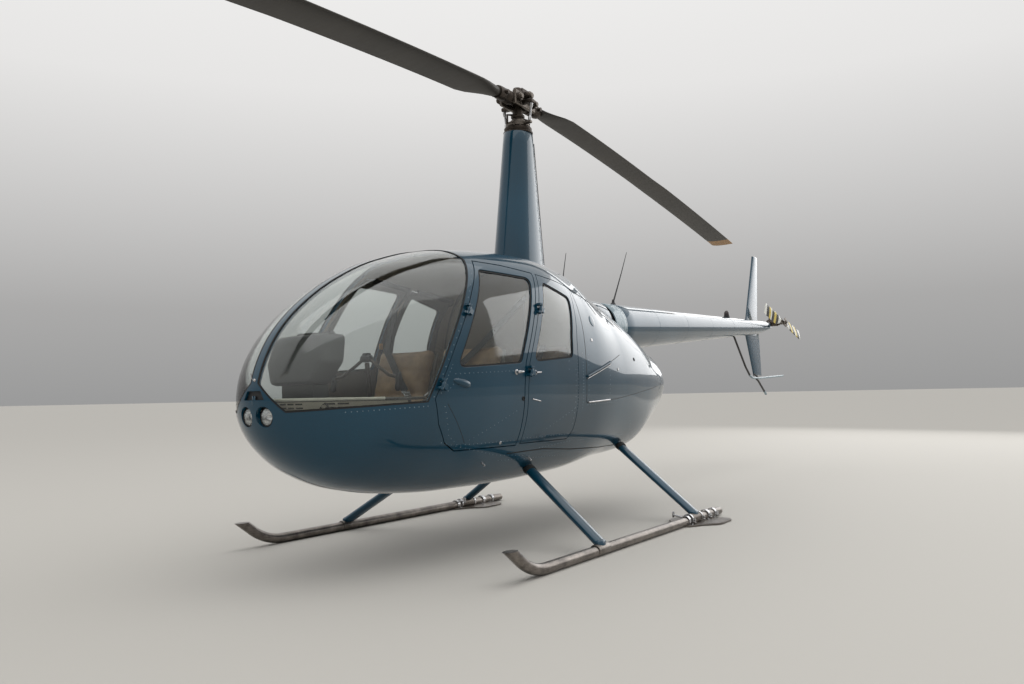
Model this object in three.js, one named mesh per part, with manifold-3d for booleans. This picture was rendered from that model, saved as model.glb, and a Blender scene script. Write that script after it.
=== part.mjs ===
// Two-blade, four-seat light helicopter on skids, at full size.
// Millimetres. +X is forward, +Y is the left (port) side, +Z is up.
// It is drawn around the main rotor's axis on the ground and moved at the end,
// so that the bottom centre of its bounding box is the origin.
import * as THREE from 'three';
import Module from 'manifold-3d';

const wasm = await Module();
wasm.setup();
const { Manifold, CrossSection, Mesh } = wasm;

const SHIFT_X = 798.9;
const SKIN = 28;
const GAP = 0.3;
const DOOR_GAP = 5.5;

// colours
const look = (hex, roughness, metalness) =>
  new THREE.MeshStandardMaterial({ color: hex, roughness, metalness });
const PAINT = look(0x0d3a52, 0.3, 0.4);
const GLASS = look(0x9fb0b4, 0.1, 0.0);
const BLADE = look(0x35342f, 0.7, 0.1);
const STEEL = look(0x77787a, 0.45, 0.9);
const DARK = look(0x2b2d30, 0.6, 0.2);
const TAN = look(0x8f7455, 0.7, 0.0);
const GREY = look(0x55565a, 0.7, 0.0);
const LAMP = look(0xd9dcdc, 0.2, 0.1);
const ALLOY = look(0x9a9da0, 0.4, 0.9);

// small solid tools
const solidFrom = (points, faces) => new Manifold(new Mesh({
  numProp: 3,
  vertProperties: new Float32Array(points.flat()),
  triVerts: new Uint32Array(faces.flat()),
}));

// rings run counter-clockwise seen from their start; a one-point ring is a tip
function loft(rings) {
  const points = [];
  const start = rings.map((ring) => {
    const at = points.length;
    points.push(...ring);
    return at;
  });
  const faces = [];
  for (let i = 0; i + 1 < rings.length; i++) {
    const a = rings[i].length;
    const b = rings[i + 1].length;
    const count = Math.max(a, b);
    for (let j = 0; j < count; j++) {
      const k = (j + 1) % count;
      if (a === 1) {
        faces.push([start[i], start[i + 1] + j, start[i + 1] + k]);
      } else if (b === 1) {
        faces.push([start[i] + j, start[i + 1], start[i] + k]);
      } else {
        faces.push([start[i] + j, start[i + 1] + j, start[i] + k]);
        faces.push([start[i] + k, start[i + 1] + j, start[i + 1] + k]);
      }
    }
  }
  const cap = (index, first) => {
    const ring = rings[index];
    if (ring.length === 1) return;
    const middle = [0, 1, 2].map((axis) =>
      ring.reduce((sum, p) => sum + p[axis], 0) / ring.length);
    const at = points.push(middle) - 1;
    for (let j = 0; j < ring.length; j++) {
      const k = (j + 1) % ring.length;
      faces.push(first
        ? [at, start[index] + j, start[index] + k]
        : [at, start[index] + k, start[index] + j]);
    }
  };
  cap(0, true);
  cap(rings.length - 1, false);
  const solid = solidFrom(points, faces);
  if (solid.volume() < 0) throw new Error('a loft is inside out');
  return solid;
}

const box = (x0, x1, y0, y1, z0, z1) =>
  Manifold.cube([x1 - x0, y1 - y0, z1 - z0]).translate([x0, y0, z0]);
const join = (...solids) => Manifold.union(solids.flat());
const mirrored = (solid) => solid.mirror([0, 1, 0]);

// an outline in X and Z, drawn out along Y from y0 to y1
function sideCut(outline, y0, y1, grow = 0, round = 0) {
  let shape = new CrossSection([outline], 'Positive');
  if (shape.area() <= 0) shape = new CrossSection([[...outline].reverse()], 'Positive');
  if (round > 0) shape = shape.offset(-round, 'Round', 2, 24).offset(round, 'Round', 2, 24);
  if (grow !== 0) shape = shape.offset(grow, 'Miter', 2, 24);
  return shape.extrude(y1 - y0).rotate([90, 0, 0]).translate([0, y1, 0]);
}

// an outline in Y and Z, drawn out along X from x0 to x1
function frontCut(outline, x0, x1) {
  let shape = new CrossSection([outline], 'Positive');
  if (shape.area() <= 0) shape = new CrossSection([[...outline].reverse()], 'Positive');
  return shape.extrude(x1 - x0).rotate([90, 0, 90]).translate([x0, 0, 0]);
}

// a round bar between two points
function bar(from, to, radiusFrom, radiusTo = radiusFrom, sides = 16) {
  const a = new THREE.Vector3(...from);
  const b = new THREE.Vector3(...to);
  const turn = new THREE.Quaternion().setFromUnitVectors(
    new THREE.Vector3(0, 0, 1), b.clone().sub(a).normalize());
  const matrix = new THREE.Matrix4().compose(a, turn, new THREE.Vector3(1, 1, 1));
  return Manifold.cylinder(a.distanceTo(b), radiusFrom, radiusTo, sides).transform(matrix.elements);
}

// a round tube bent through a list of points, mitred at each bend
function bent(path, radius, sides = 12) {
  const points = path.map((p) => new THREE.Vector3(...p));
  const way = points.slice(1).map((p, i) => p.clone().sub(points[i]).normalize());
  const across = new THREE.Vector3(0, 0, 1).cross(way[0]).normalize();
  const up = across.clone().cross(way[0]).negate();
  let ring = [];
  for (let j = 0; j < sides; j++) {
    const angle = (-2 * Math.PI * j) / sides;
    ring.push(points[0].clone()
      .addScaledVector(across, radius * Math.cos(angle))
      .addScaledVector(up, radius * Math.sin(angle)));
  }
  const rings = [ring];
  for (let i = 1; i < points.length; i++) {
    const before = way[i - 1];
    const normal = i < way.length ? before.clone().add(way[i]) : before;
    ring = ring.map((p) => p.clone().addScaledVector(
      before, points[i].clone().sub(p).dot(normal) / before.dot(normal)));
    rings.push(ring);
  }
  return loft(rings.map((r) => r.map((p) => p.toArray())));
}

// monotone cubic curve through the given points
function curve(xs, ys) {
  const last = xs.length - 1;
  const step = [];
  const slope = [];
  for (let i = 0; i < last; i++) {
    step[i] = xs[i + 1] - xs[i];
    slope[i] = (ys[i + 1] - ys[i]) / step[i];
  }
  const tangent = [slope[0]];
  for (let i = 1; i < last; i++) {
    const w0 = 2 * step[i] + step[i - 1];
    const w1 = step[i] + 2 * step[i - 1];
    tangent[i] = slope[i - 1] * slope[i] <= 0
      ? 0
      : (w0 + w1) / (w0 / slope[i - 1] + w1 / slope[i]);
  }
  tangent[last] = slope[last - 1];
  return (x) => {
    let i = 0;
    while (i < last - 1 && x > xs[i + 1]) i++;
    const t = (x - xs[i]) / step[i];
    const h = step[i];
    return (2 * t ** 3 - 3 * t ** 2 + 1) * ys[i] + (t ** 3 - 2 * t ** 2 + t) * h * tangent[i]
      + (-2 * t ** 3 + 3 * t ** 2) * ys[i + 1] + (t ** 3 - t ** 2) * h * tangent[i + 1];
  };
}

// fuselage form
// station, top, bottom, half width, height of the widest point, roundness above and below
const STATIONS = [
  [-2010, 1085, 1075, 0, 1080, 2.0, 2.0],
  [-1990, 1150, 1000, 110, 1075, 2.0, 2.0],
  [-1920, 1220, 880, 215, 1060, 1.9, 2.0],
  [-1780, 1300, 760, 325, 1050, 1.9, 2.0],
  [-1400, 1470, 615, 450, 1040, 1.8, 2.3],
  [-1000, 1630, 487, 540, 1050, 1.8, 2.7],
  [-500, 1800, 445, 610, 1050, 1.8, 2.4],
  [0, 1920, 390, 640, 1050, 2.3, 2.4],
  [600, 1910, 370, 640, 1050, 3.5, 2.4],
  [1200, 1870, 375, 615, 1030, 3.3, 2.4],
  [1600, 1770, 400, 570, 1000, 2.75, 2.3],
  [1900, 1638, 450, 510, 970, 2.15, 2.2],
  [2150, 1475, 540, 420, 955, 2.0, 2.1],
  [2320, 1310, 650, 310, 950, 2.0, 2.0],
  [2420, 1140, 770, 180, 950, 2.0, 2.0],
  [2460, 960, 940, 0, 950, 2.0, 2.0],
];
// the tables run over an angle along the length, which makes both ends round
const MIDDLE = 225;
const HALF_LENGTH = 2235;
const along = (x) => Math.asin(Math.min(1, Math.max(-1, (x - MIDDLE) / HALF_LENGTH)));
const tables = [1, 2, 3, 4, 5, 6].map((k) =>
  curve(STATIONS.map((row) => along(row[0])), STATIONS.map((row) => row[k])));
const form = tables.map((table) => (x) => table(along(x)));
const SIDES = 44;

function section(x, sides) {
  const [top, bottom, half, widest, upper, lower] = form.map((f) => f(x));
  const ring = [];
  for (let j = 0; j < sides; j++) {
    const angle = (2 * Math.PI * j) / sides;
    const c = Math.cos(angle);
    const s = Math.sin(angle);
    const power = 2 / (s >= 0 ? upper : lower);
    const tall = s >= 0 ? top - widest : widest - bottom;
    ring.push([
      x,
      Math.sign(c) * Math.abs(c) ** power * half,
      widest + Math.sign(s) * Math.abs(s) ** power * tall,
    ]);
  }
  return ring;
}

const RINGS = [2455, 2435, 2400, 2340, 2250, 2130, 1980, 1800, 1600, 1370, 1100, 800, 450, 100, -250,
  -600, -950, -1280, -1540, -1740, -1880, -1960, -1998];
const ROUGH_RINGS = [2446, 2350, 2220, 2030, 1780, 1450, 1050, 600, 100, -400, -900, -1350, -1700, -1930];

// the whole egg, drawn in by an inset measured from its skin
function egg(inset, rough = false) {
  const middle = [350, 0, 1150];
  const size = [2110, 640, 775];
  const scale = size.map((half) => 1 - inset / half);
  const place = (p) => p.map((v, axis) => middle[axis] + (v - middle[axis]) * scale[axis]);
  const stations = rough ? ROUGH_RINGS : RINGS;
  const sides = rough ? 28 : SIDES;
  const rings = [[[2460, 0, 950]], ...stations.map((x) => section(x, sides)), [[-2010, 0, 1080]]];
  return loft(rings.map((ring) => ring.map(place)));
}

const outer = egg(0);
const shell = outer.subtract(egg(SKIN, true));
const inside = egg(SKIN + GAP, true);
const pane = egg(9).subtract(egg(16));

// outlines on the side, in X and Z
const FRONT_WALL = 170;
// middle of the gap between the doors
const middleLine = (offset) => [
  [667 + offset, 1712], [888 + offset, 1155], [905 + offset, 1000], [905 + offset, 700]];
const frontDoor = [
  [1200, 1765], [1345, 1548], [1532, 1230], [1688, 940], [1650, 805], [1575, 700], [1480, 650],
  [927, 650], [927, 1000], [910, 1155], [689, 1712], [684, 1738], [974, 1760]];
const rearDoor = [
  [640, 1733], [645, 1712], [866, 1155], [883, 1000], [883, 660], [330, 660], [290, 720],
  [285, 1050], [285, 1320], [250, 1540], [200, 1690], [400, 1714]];
const frontWindow = [[1208, 1713], [1530, 1112], [951, 1150], [729, 1703]];
const rearWindow = [[606, 1690], [825, 1159], [346, 1200], [338, 1340], [272, 1615]];
const screen = [
  [1738, 925], [1978, 914], [2226, 902], [2412, 888], [3000, 850], [3000, 2500], [1252, 2500],
  [1252, 1772], [1385, 1551], [1572, 1230]];
const noseVee = [
  [-187, 888], [-105, 964], [-22, 1040], [22, 1040], [105, 964], [187, 888], [187, 300], [-187, 300]];
const LOW_SPLIT = [
  [FRONT_WALL, 655], [1000, 655], [1000, 800], [1600, 935], [3000, 935], [3000, 100], [FRONT_WALL, 100]];

const ahead = (x) => box(x, 3000, -900, 900, 100, 2300);
const behind = (x) => box(-2400, x, -900, 900, 100, 2300);

// door hinges
// each door turns about a line through two points just outside its front edge
const frontHinge = [[1657, 583, 1020], [1415, 583, 1450]];
const rearHinge = [[881, 655, 1100], [738, 638, 1500]];

// local frame on the hinge line: X forward, Y outward, Z up along the line
function hingeFrame(line, at) {
  const low = new THREE.Vector3(...line[0]);
  const high = new THREE.Vector3(...line[1]);
  const along = high.clone().sub(low).normalize();
  const out = new THREE.Vector3(0, 1, 0).addScaledVector(along, -along.y).normalize();
  const forward = out.clone().cross(along);
  return new THREE.Matrix4().makeBasis(forward, out, along)
    .setPosition(low.lerp(high, at));
}
const leafDoor = (line, at) => join(
  Manifold.cylinder(34, 10, 10, 12).translate([0, 0, -17]),
  box(-40, 0, -12, 6, -17, 17),
  box(-37, -16, -27, 6, -17, 17),
).transform(hingeFrame(line, at).elements);
const leafPost = (line, at) => join(
  Manifold.cylinder(16, 10, 10, 12).translate([0, 0, 17.6]),
  Manifold.cylinder(16, 10, 10, 12).translate([0, 0, -33.6]),
  box(0, 17, -36, 6, 17.6, 33.6),
  box(0, 17, -36, 6, -33.6, -17.6),
).transform(hingeFrame(line, at).elements);

// a door outline with its gap, swung a little way open, so that the frame clears the door's path
function swungHole(outline, line) {
  const frame = hingeFrame(line, 0);
  const back = frame.clone().invert();
  const slab = egg(-2, true).subtract(egg(SKIN + 4, true))
    .intersect(sideCut(outline, 60, 900, DOOR_GAP + 1.5));
  return join([2, 4.5, 8, 13].map((degrees) => {
    const turn = new THREE.Matrix4().makeRotationZ((-degrees * Math.PI) / 180);
    return slab.transform(frame.clone().multiply(turn).multiply(back).elements);
  }));
}

// doors and windows
const doorHole = join(
  sideCut(frontDoor, 60, 900, DOOR_GAP), sideCut(rearDoor, 60, 900, DOOR_GAP),
  swungHole(frontDoor, frontHinge), swungHole(rearDoor, rearHinge));
const frontGlassHole = sideCut(frontWindow, 60, 900, 0, 38);
const rearGlassHole = sideCut(rearWindow, 60, 900, 0, 38);
const doorFrontLeft = join(
  shell.intersect(sideCut(frontDoor, 60, 900)).subtract(frontGlassHole),
  leafDoor(frontHinge, 0), leafDoor(frontHinge, 1));
const doorRearLeft = join(
  shell.intersect(sideCut(rearDoor, 60, 900)).subtract(rearGlassHole),
  leafDoor(rearHinge, 0), leafDoor(rearHinge, 1));
const hingePosts = join(
  leafPost(frontHinge, 0), leafPost(frontHinge, 1), leafPost(rearHinge, 0), leafPost(rearHinge, 1));
const windowFrontLeft = pane.intersect(sideCut(frontWindow, 60, 900, -GAP, 38));
const windowRearLeft = pane.intersect(sideCut(rearWindow, 60, 900, -GAP, 38));

// windshield
const vee = frontCut(noseVee, 2150, 2600);
const veeWide = frontCut(noseVee.map(([y, z]) => [y * 1.002, z + GAP]), 2150, 2600);
const screenHole = sideCut(screen, 22, 900).subtract(vee);
const screenLeft = pane.intersect(sideCut(screen, 22 + GAP, 900, -GAP)).subtract(veeWide);

// cabin shell
const cabin = shell.intersect(ahead(FRONT_WALL))
  .subtract(join(doorHole, mirrored(doorHole), screenHole, mirrored(screenHole)));
const lowRegion = sideCut(LOW_SPLIT, -900, 900);
const hull = cabin.intersect(join(lowRegion, vee));
const roof = join(
  cabin.subtract(join(sideCut(LOW_SPLIT, -900, 900, GAP), veeWide)),
  hingePosts, mirrored(hingePosts));

// aft body
const AFT = FRONT_WALL - GAP;
const roofSeam = [[AFT + 50, 1697], [-555, 1537], [-760, 1440]];
const roofRegion = [...roofSeam, [-760, 2200], [AFT + 50, 2200]];
const sideSeam = [[AFT + 50, 900], [-306, 916], [-789, 962], [-1328, 1010], [-2100, 1080]];
const bellyRegion = [...sideSeam, [-2100, 100], [AFT + 50, 100]];
const BOOM_FRONT = -1120;
const BOOM_REAR = -5730;
const tailAxis = (x) => 1540 + ((x + 1500) * 231) / -4220;
const tailRadius = (x) => 203 + ((x + 1500) * 129) / 4220;
const tailCone = (x0, x1, grow) =>
  bar([x0, 0, tailAxis(x0)], [x1, 0, tailAxis(x1)], tailRadius(x0) + grow, tailRadius(x1) + grow, 32);
const tailHole = tailCone(BOOM_FRONT + 70, -3000, GAP);
// the roof cowl's round neck, just ahead of the boom
const neck = (grow) => bar([-560, 0, 1525], [-1060, 0, 1533], 215 + grow, 208 + grow, 32);
const aft = shell.intersect(behind(AFT)).subtract(tailHole);
const mastHole = Manifold.cylinder(600, 70, 70, 32).translate([0, 0, 1600]);
const roofAft = join(aft.intersect(sideCut(roofRegion, -900, 900)), neck(0).subtract(egg(SKIN, true)))
  .subtract(join(mastHole, neck(-9).translate([-3, 0, 0])));
const belly = aft.intersect(sideCut(bellyRegion, -900, 900));
const cowl = aft.subtract(join(
  sideCut(roofRegion, -900, 900, GAP), sideCut(bellyRegion, -900, 900, GAP), neck(GAP)));
const cowlLeft = cowl.intersect(box(-2400, 400, GAP / 2, 900, 0, 2300));

// inside
const firewall = inside.intersect(box(138, 166, -700, 700, 300, 2200));
const floor = inside.intersect(box(166 + GAP, 2150, -700, 700, 500, 520));
const roomy = egg(SKIN + 12, true);
const FLOOR = 520 + GAP;
const frontSeatSide = [
  [1150, FLOOR], [1470, FLOOR], [1510, 790], [1530, 835], [1480, 858], [1160, 815], [1010, 1255],
  [985, 1285], [920, 1275], [895, 1235], [1030, 790]];
const frontSeat = sideCut(frontSeatSide, 45, 505, 0, 12).intersect(roomy);
const rearSeatSide = [
  [170, FLOOR], [640, FLOOR], [690, 770], [715, 815], [660, 838], [330, 800], [250, 1250],
  [225, 1275], [172, 1265]];
const rearBench = sideCut(rearSeatSide, -520, 520, 0, 12).intersect(roomy);
const consoleBody = join(
  sideCut([[2185, 960], [2140, 1230], [2060, 1300], [1985, 1310], [1985, 950], [2010, 920]], -225, 225, 0, 14),
  box(1985, 2120, -120, 120, FLOOR, 960),
).intersect(roomy);
const stick = join(
  bent([[1560, 0, FLOOR + 18], [1590, 0, 800], [1655, 0, 1010]], 17, 10),
  Manifold.cylinder(18, 42, 42, 14).translate([1560, 0, FLOOR]),
  bent([[1640, -255, 1095], [1655, -235, 1000], [1655, 235, 1000], [1640, 255, 1095]], 13, 8),
  Manifold.cylinder(95, 19, 21, 12).translate([1640, 255, 1080]),
  Manifold.cylinder(95, 19, 21, 12).translate([1640, -255, 1080]),
);
const engine = join(
  box(-1180, -330, -300, 300, 718, 1080),
  box(-331, 138 - GAP, 150, 200, 760, 810),
  box(-331, 138 - GAP, -200, -150, 760, 810),
);

// mast
function streamTube(z0, z1, shapes, wall) {
  const ring = (z, [middle, half, wide], inset) => {
    const points = [];
    for (let j = 0; j < 28; j++) {
      const angle = (2 * Math.PI * j) / 28;
      const c = Math.cos(angle);
      const s = Math.sin(angle);
      points.push([
        middle + c * (half - inset),
        s * (wide - inset) * (1 + 0.22 * c - 0.08 * c * c),
        z,
      ]);
    }
    return points.reverse();
  };
  const blend = (z) => shapes[0].map((v, i) => v + ((shapes[1][i] - v) * (z - z0)) / (z1 - z0));
  const stack = (low, high, inset) => loft([
    ring(low, blend(low), inset), ring(high, blend(high), inset)].reverse().map((r) => r.reverse()));
  return stack(z0, z1, 0).subtract(stack(z0 - 20, z1 + 20, wall));
}
// the rear edge ends a little lower than the rest
const mastNotch = sideCut([[-112, 2930], [-122, 2878], [-300, 2850], [-300, 2930]], -200, 200);
const mastFairing = streamTube(1700, 2920, [[-15, 325, 150], [-20, 145, 100]], 8)
  .subtract(join(egg(-GAP), mastNotch));
const mastCap = join(
  Manifold.cylinder(15, 112, 112, 28).translate([0, 0, 2920 + GAP]),
  Manifold.cylinder(34, 104, 104, 28).translate([0, 0, 2934]),
  Manifold.cylinder(130, 82, 82, 20).translate([0, 0, 2795]),
).subtract(Manifold.cylinder(400, 40.9, 40.9, 28).translate([0, 0, 2700]));

// main rotor, drawn along X and turned to its parked angle
const ROTOR_R = 5030;
const ROTOR_TURN = 3.95;
const ROOT_R = 300;
const spin = (solid) => solid.rotate([0, 0, ROTOR_TURN]);
// height of a parked blade at a distance from the mast; the two sag a little differently
const droop = (r, side) => 3176 + (4.3 - side * 8.5) * (r / 1000) - 437 * (r / ROTOR_R) ** 1.37;
const bladePitch = (r) => 6.4 - 0.72 * (r / 1000);

function foil(chord, thick, count = 9) {
  // leading edge at +0.27 chord, trailing edge at -0.73 chord
  const half = (t) => thick * (1.4845 * Math.sqrt(t) - 0.63 * t - 1.758 * t * t + 1.4215 * t ** 3
    - 0.5075 * t ** 4);
  const top = [];
  const low = [];
  for (let i = 0; i <= count; i++) {
    const t = (1 - Math.cos((Math.PI * i) / count)) / 2;
    const across = (0.27 - t) * chord;
    const up = i === 0 ? 0 : Math.max(half(t), 0.9);
    top.push([across, up]);
    if (i > 0) low.push([across, -up]);
  }
  return [...top, ...low.reverse()];
}

// blade along +X; its nose points to +Y when the rotor turns counter-clockwise from above
function mainBlade(side) {
  // distance from the mast, chord, thickness
  const stations = [
    [ROOT_R, 120, 70], [380, 165, 60], [480, 225, 48], [580, 254, 38], [900, 254, 33], [1500, 254, 31],
    [2300, 254, 31], [2650, 269, 31], [3300, 269, 31], [3900, 269, 31], [4500, 269, 31],
    [ROTOR_R, 269, 28]];
  const rings = stations.map(([r, chord, thick]) => {
    const angle = (bladePitch(r) * Math.PI) / 180;
    const c = Math.cos(angle);
    const s = Math.sin(angle);
    return foil(chord, thick).map(([across, up]) => [
      r, across * c - up * s, droop(r, side) + across * s + up * c]);
  });
  return loft([...rings].reverse());
}
const rotorShaft = join(
  Manifold.cylinder(440, 40, 40, 28).translate([0, 0, 2700]),
  Manifold.cylinder(26, 92, 92, 28).translate([0, 0, 2976]),
  bar([38, 122, 2990], [38, 140, 3128], 9, 9, 8),
  bar([-38, -122, 2990], [-38, -140, 3128], 9, 9, 8),
  box(22, 54, 60, 138, 2978, 3000),
  box(-54, -22, -138, -60, 2978, 3000),
);
const spindle = (side) =>
  bar([side * 90, 0, 3168], [side * (ROOT_R + 10), 0, droop(ROOT_R + 10, side)], 46, 40, 14);
const hub = join(
  box(-150, 150, -72, -46, 3112, 3222),
  box(-150, 150, 46, 72, 3112, 3222),
  box(-70, 70, -50, 50, 3140.3, 3215),
  bar([0, -112, 3200], [0, 112, 3200], 34, 34, 14),
  bar([112, -96, 3168], [112, 96, 3168], 30, 30, 12),
  bar([-112, -96, 3168], [-112, 96, 3168], 30, 30, 12),
  spindle(1), spindle(-1),
  box(18, 60, 60, 156, 3130.3, 3160),
  box(-60, -18, -156, -60, 3130.3, 3160),
  Manifold.cylinder(70, 40, 30, 16).translate([0, 0, 3210]),
).intersect(box(-ROOT_R + GAP, ROOT_R - GAP, -200, 200, 3000, 3400));

// tail
const boomBore = tailCone(BOOM_FRONT + 30, -5270, -9);
// the underside slants up at the rear end
const boomSlant = sideCut(
  [[-5290, 1662], [BOOM_REAR - 10, 1769], [BOOM_REAR - 10, 1600], [-5290, 1600]], -200, 200);
const tailBoom = tailCone(BOOM_FRONT, BOOM_REAR, 0).subtract(join(boomBore, boomSlant));
const tailSolid = tailCone(BOOM_FRONT, BOOM_REAR, GAP);

// a flat tail surface between two chords, as a thin wing
function plateWing(root, tip, thick) {
  // root and tip: [lead x, trail x, height]; runs from root to tip along Z
  const ring = ([lead, trail, z]) => {
    const chord = lead - trail;
    return foil(chord, thick, 7).map(([across, up]) => [trail + 0.73 * chord + across, up, z]);
  };
  const order = root[2] > tip[2] ? [ring(root), ring(tip)] : [ring(tip), ring(root)];
  return loft(order);
}
const finUpper = plateWing([-4905, -5370, 1730], [-5270, -5460, 2650], 36).subtract(tailSolid);
const finLower = plateWing([-4890, -5420, 1700], [-5165, -5475, 1140], 36).subtract(tailSolid);
const stabilizer = plateWing([-4700, -5010, 20], [-4735, -5010, 790], 34)
  .rotate([90, 0, 0])
  .translate([0, 0, 1725])
  .subtract(tailSolid);

// tail gearbox behind the boom's end, with its shaft to the left
const TAIL_HUB = [-5890, 178, 1838];
const GEAR_FRONT = BOOM_REAR - 2 * GAP;
const tailGear = join(
  bar([GEAR_FRONT, 0, 1806], [GEAR_FRONT - 24, 0, 1806], 39, 39, 20),
  bar([GEAR_FRONT - 10, 0, 1806], [TAIL_HUB[0], 0, TAIL_HUB[2]], 33, 33, 16),
  Manifold.sphere(54, 18).translate([TAIL_HUB[0], 0, TAIL_HUB[2]]),
  bar([TAIL_HUB[0], 0, TAIL_HUB[2]], [TAIL_HUB[0], 128, TAIL_HUB[2]], 38, 32, 16),
  bar([TAIL_HUB[0], 100, TAIL_HUB[2]], [TAIL_HUB[0], 196, TAIL_HUB[2]], 14, 14, 16),
);
const TAIL_R = 737;
const TAIL_TURN = 13;
function tailBlade() {
  const rings = [[118, 62, 26, 14], [170, 90, 20, 14], [225, 130, 17, 14], [480, 130, 16, 11],
    [TAIL_R, 130, 15, 8]].map(([r, chord, thick, pitch]) => {
    const angle = (pitch * Math.PI) / 180;
    const c = Math.cos(angle);
    const s = Math.sin(angle);
    return foil(chord, thick, 7).map(([across, up]) => [
      r, across * s + up * c, across * c - up * s]);
  });
  return loft(rings);
}
const tailPlace = (solid) => solid.rotate([0, -TAIL_TURN, 0]).translate(TAIL_HUB);
const tailHub = tailPlace(join(
  bar([0, -45, 0], [0, 46, 0], 26, 26, 14),
  box(-112, 112, -11, 11, -24, 24),
  bar([60, 0, 0], [118 - GAP, 0, 0], 20, 17, 14),
  bar([-60, 0, 0], [-118 + GAP, 0, 0], 20, 17, 14),
  bar([0, 24, 0], [0, 32, 0], 60, 60, 16),
  bar([52, 28, 0], [70, 4, 18], 6, 6, 8),
  bar([-52, 28, 0], [-70, 4, -18], 6, 6, 8),
).subtract(bar([0, -60, 0], [0, 20, 0], 14.9, 14.9, 16)));
const tailBladeA = tailPlace(tailBlade());
const tailBladeB = tailPlace(tailBlade().rotate([0, 180, 0]));
const guard = join(
  bent([[-4480, 0, 1642], [-4743, 50, 1245], [-4866, 60, 1136], [-4925, 70, 1110], [-5136, 80, 1108],
    [-5963, 120, 1144]], 12, 10),
  bent([[-5040, 76, 1100], [-5110, 78, 1075], [-5437, 60, 909]], 12, 10),
).subtract(tailSolid);

// landing gear
const SKID_Y = 1042;
const SKID_R = 32;
const TIP_START = 1380;
const TIP_BEND = 420;
const TIP_RISE = (36 * Math.PI) / 180;
const TIP_TOP = 172;
const tip = [];
for (let i = 0; i <= 5; i++) {
  const angle = (i / 5) * TIP_RISE;
  tip.push([TIP_START + TIP_BEND * Math.sin(angle), SKID_Y, SKID_R + TIP_BEND * (1 - Math.cos(angle))]);
}
const SKID_END = -1150;
const [bendEndX, , bendEndZ] = tip[tip.length - 1];
const skidPath = [[SKID_END, SKID_Y, SKID_R], ...tip,
  [bendEndX + 180 * Math.cos(TIP_RISE), SKID_Y, bendEndZ + 180 * Math.sin(TIP_RISE)]];
// half of the flat paw under the rear end, from the tube outwards
const pawEdge = [[-430, 0], [-450, 60], [-560, 110], [-640, 192], [-700, 206], [-880, 200], [-945, 160],
  [-960, 60], [-960, 0]];
const pawOutline = [...pawEdge, ...pawEdge.slice(1, -1).map(([x, y]) => [x, -y]).reverse()];
const paw = new CrossSection([pawOutline], 'NonZero');
const pawPad = CrossSection.square([340, 140]).translate([-900, 66]);
const leftSkid = join(
  bent(skidPath, SKID_R, 16).intersect(box(-2000, 2500, 0, 2000, -10, TIP_TOP)),
  paw.extrude(8).translate([0, SKID_Y, 4]),
  paw.intersect(pawPad).extrude(3).translate([0, SKID_Y, 10.5]),
  bar([-735, SKID_Y, SKID_R + 6], [-545, SKID_Y, SKID_R + 6], 38, 38, 16),
  bar([-880, SKID_Y, SKID_R + 6], [-845, SKID_Y, SKID_R + 6], 38, 38, 16),
  bar([-1010, SKID_Y, SKID_R + 4], [-980, SKID_Y, SKID_R + 4], 36, 36, 16),
  bar([-500, SKID_Y, 56], [-500, SKID_Y - 92, 72], 8, 8, 10),
  box(-512, -488, SKID_Y - 100, SKID_Y - 90, 54, 98),
);

// one bent streamlined tube across the belly, with a foot on each skid
const LEG_THICK = 54;
const LEG_DEEPER = 1.85;
function legPair([xFoot, zFoot], [xKnee, yKnee, zKnee], grow = 0) {
  const half = [[xFoot, SKID_Y - 2, zFoot], [xKnee, yKnee, zKnee], [xKnee, yKnee - 90, zKnee + 30]]
    .map(([x, y, z]) => [x / LEG_DEEPER, y, z]);
  const other = half.map(([x, y, z]) => [x, -y, z]).reverse();
  const radius = LEG_THICK / 2 + grow;
  const foot = Manifold.cylinder(44, radius, radius, 16).translate([xFoot / LEG_DEEPER, SKID_Y, 44]);
  return join(bent([...half, ...other], radius, 16), foot, mirrored(foot)).scale([LEG_DEEPER, 1, 1]);
}
const frontLegs = (grow) => legPair([770, 72], [575, 335, 541], grow);
const rearLegs = (grow) => legPair([-660, 72], [-730, 340, 605], grow);
const skidSolid = join(
  bar([SKID_END, SKID_Y, SKID_R], [TIP_START, SKID_Y, SKID_R], SKID_R + GAP, SKID_R + GAP, 16),
  bar([-735 - GAP, SKID_Y, SKID_R + 6], [-545 + GAP, SKID_Y, SKID_R + 6], 38 + GAP, 38 + GAP, 16));
const skids = join(skidSolid, mirrored(skidSolid));
const legFront = frontLegs(0).subtract(skids);
const legRear = rearLegs(0).subtract(skids);
const legRoom = join(frontLegs(GAP), rearLegs(GAP));

// lamps
const lampSpot = (y) => bar([2300, y, 869], [2700, y, 869], 50, 50, 20);
const lampRoom = (y) => bar([2300, y, 869], [2700, y, 869], 50 + GAP, 50 + GAP, 20);
const lampBand = egg(-1).subtract(egg(20));
const lampLeft = lampBand.intersect(lampSpot(76));
const lampRight = mirrored(lampLeft);

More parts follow.
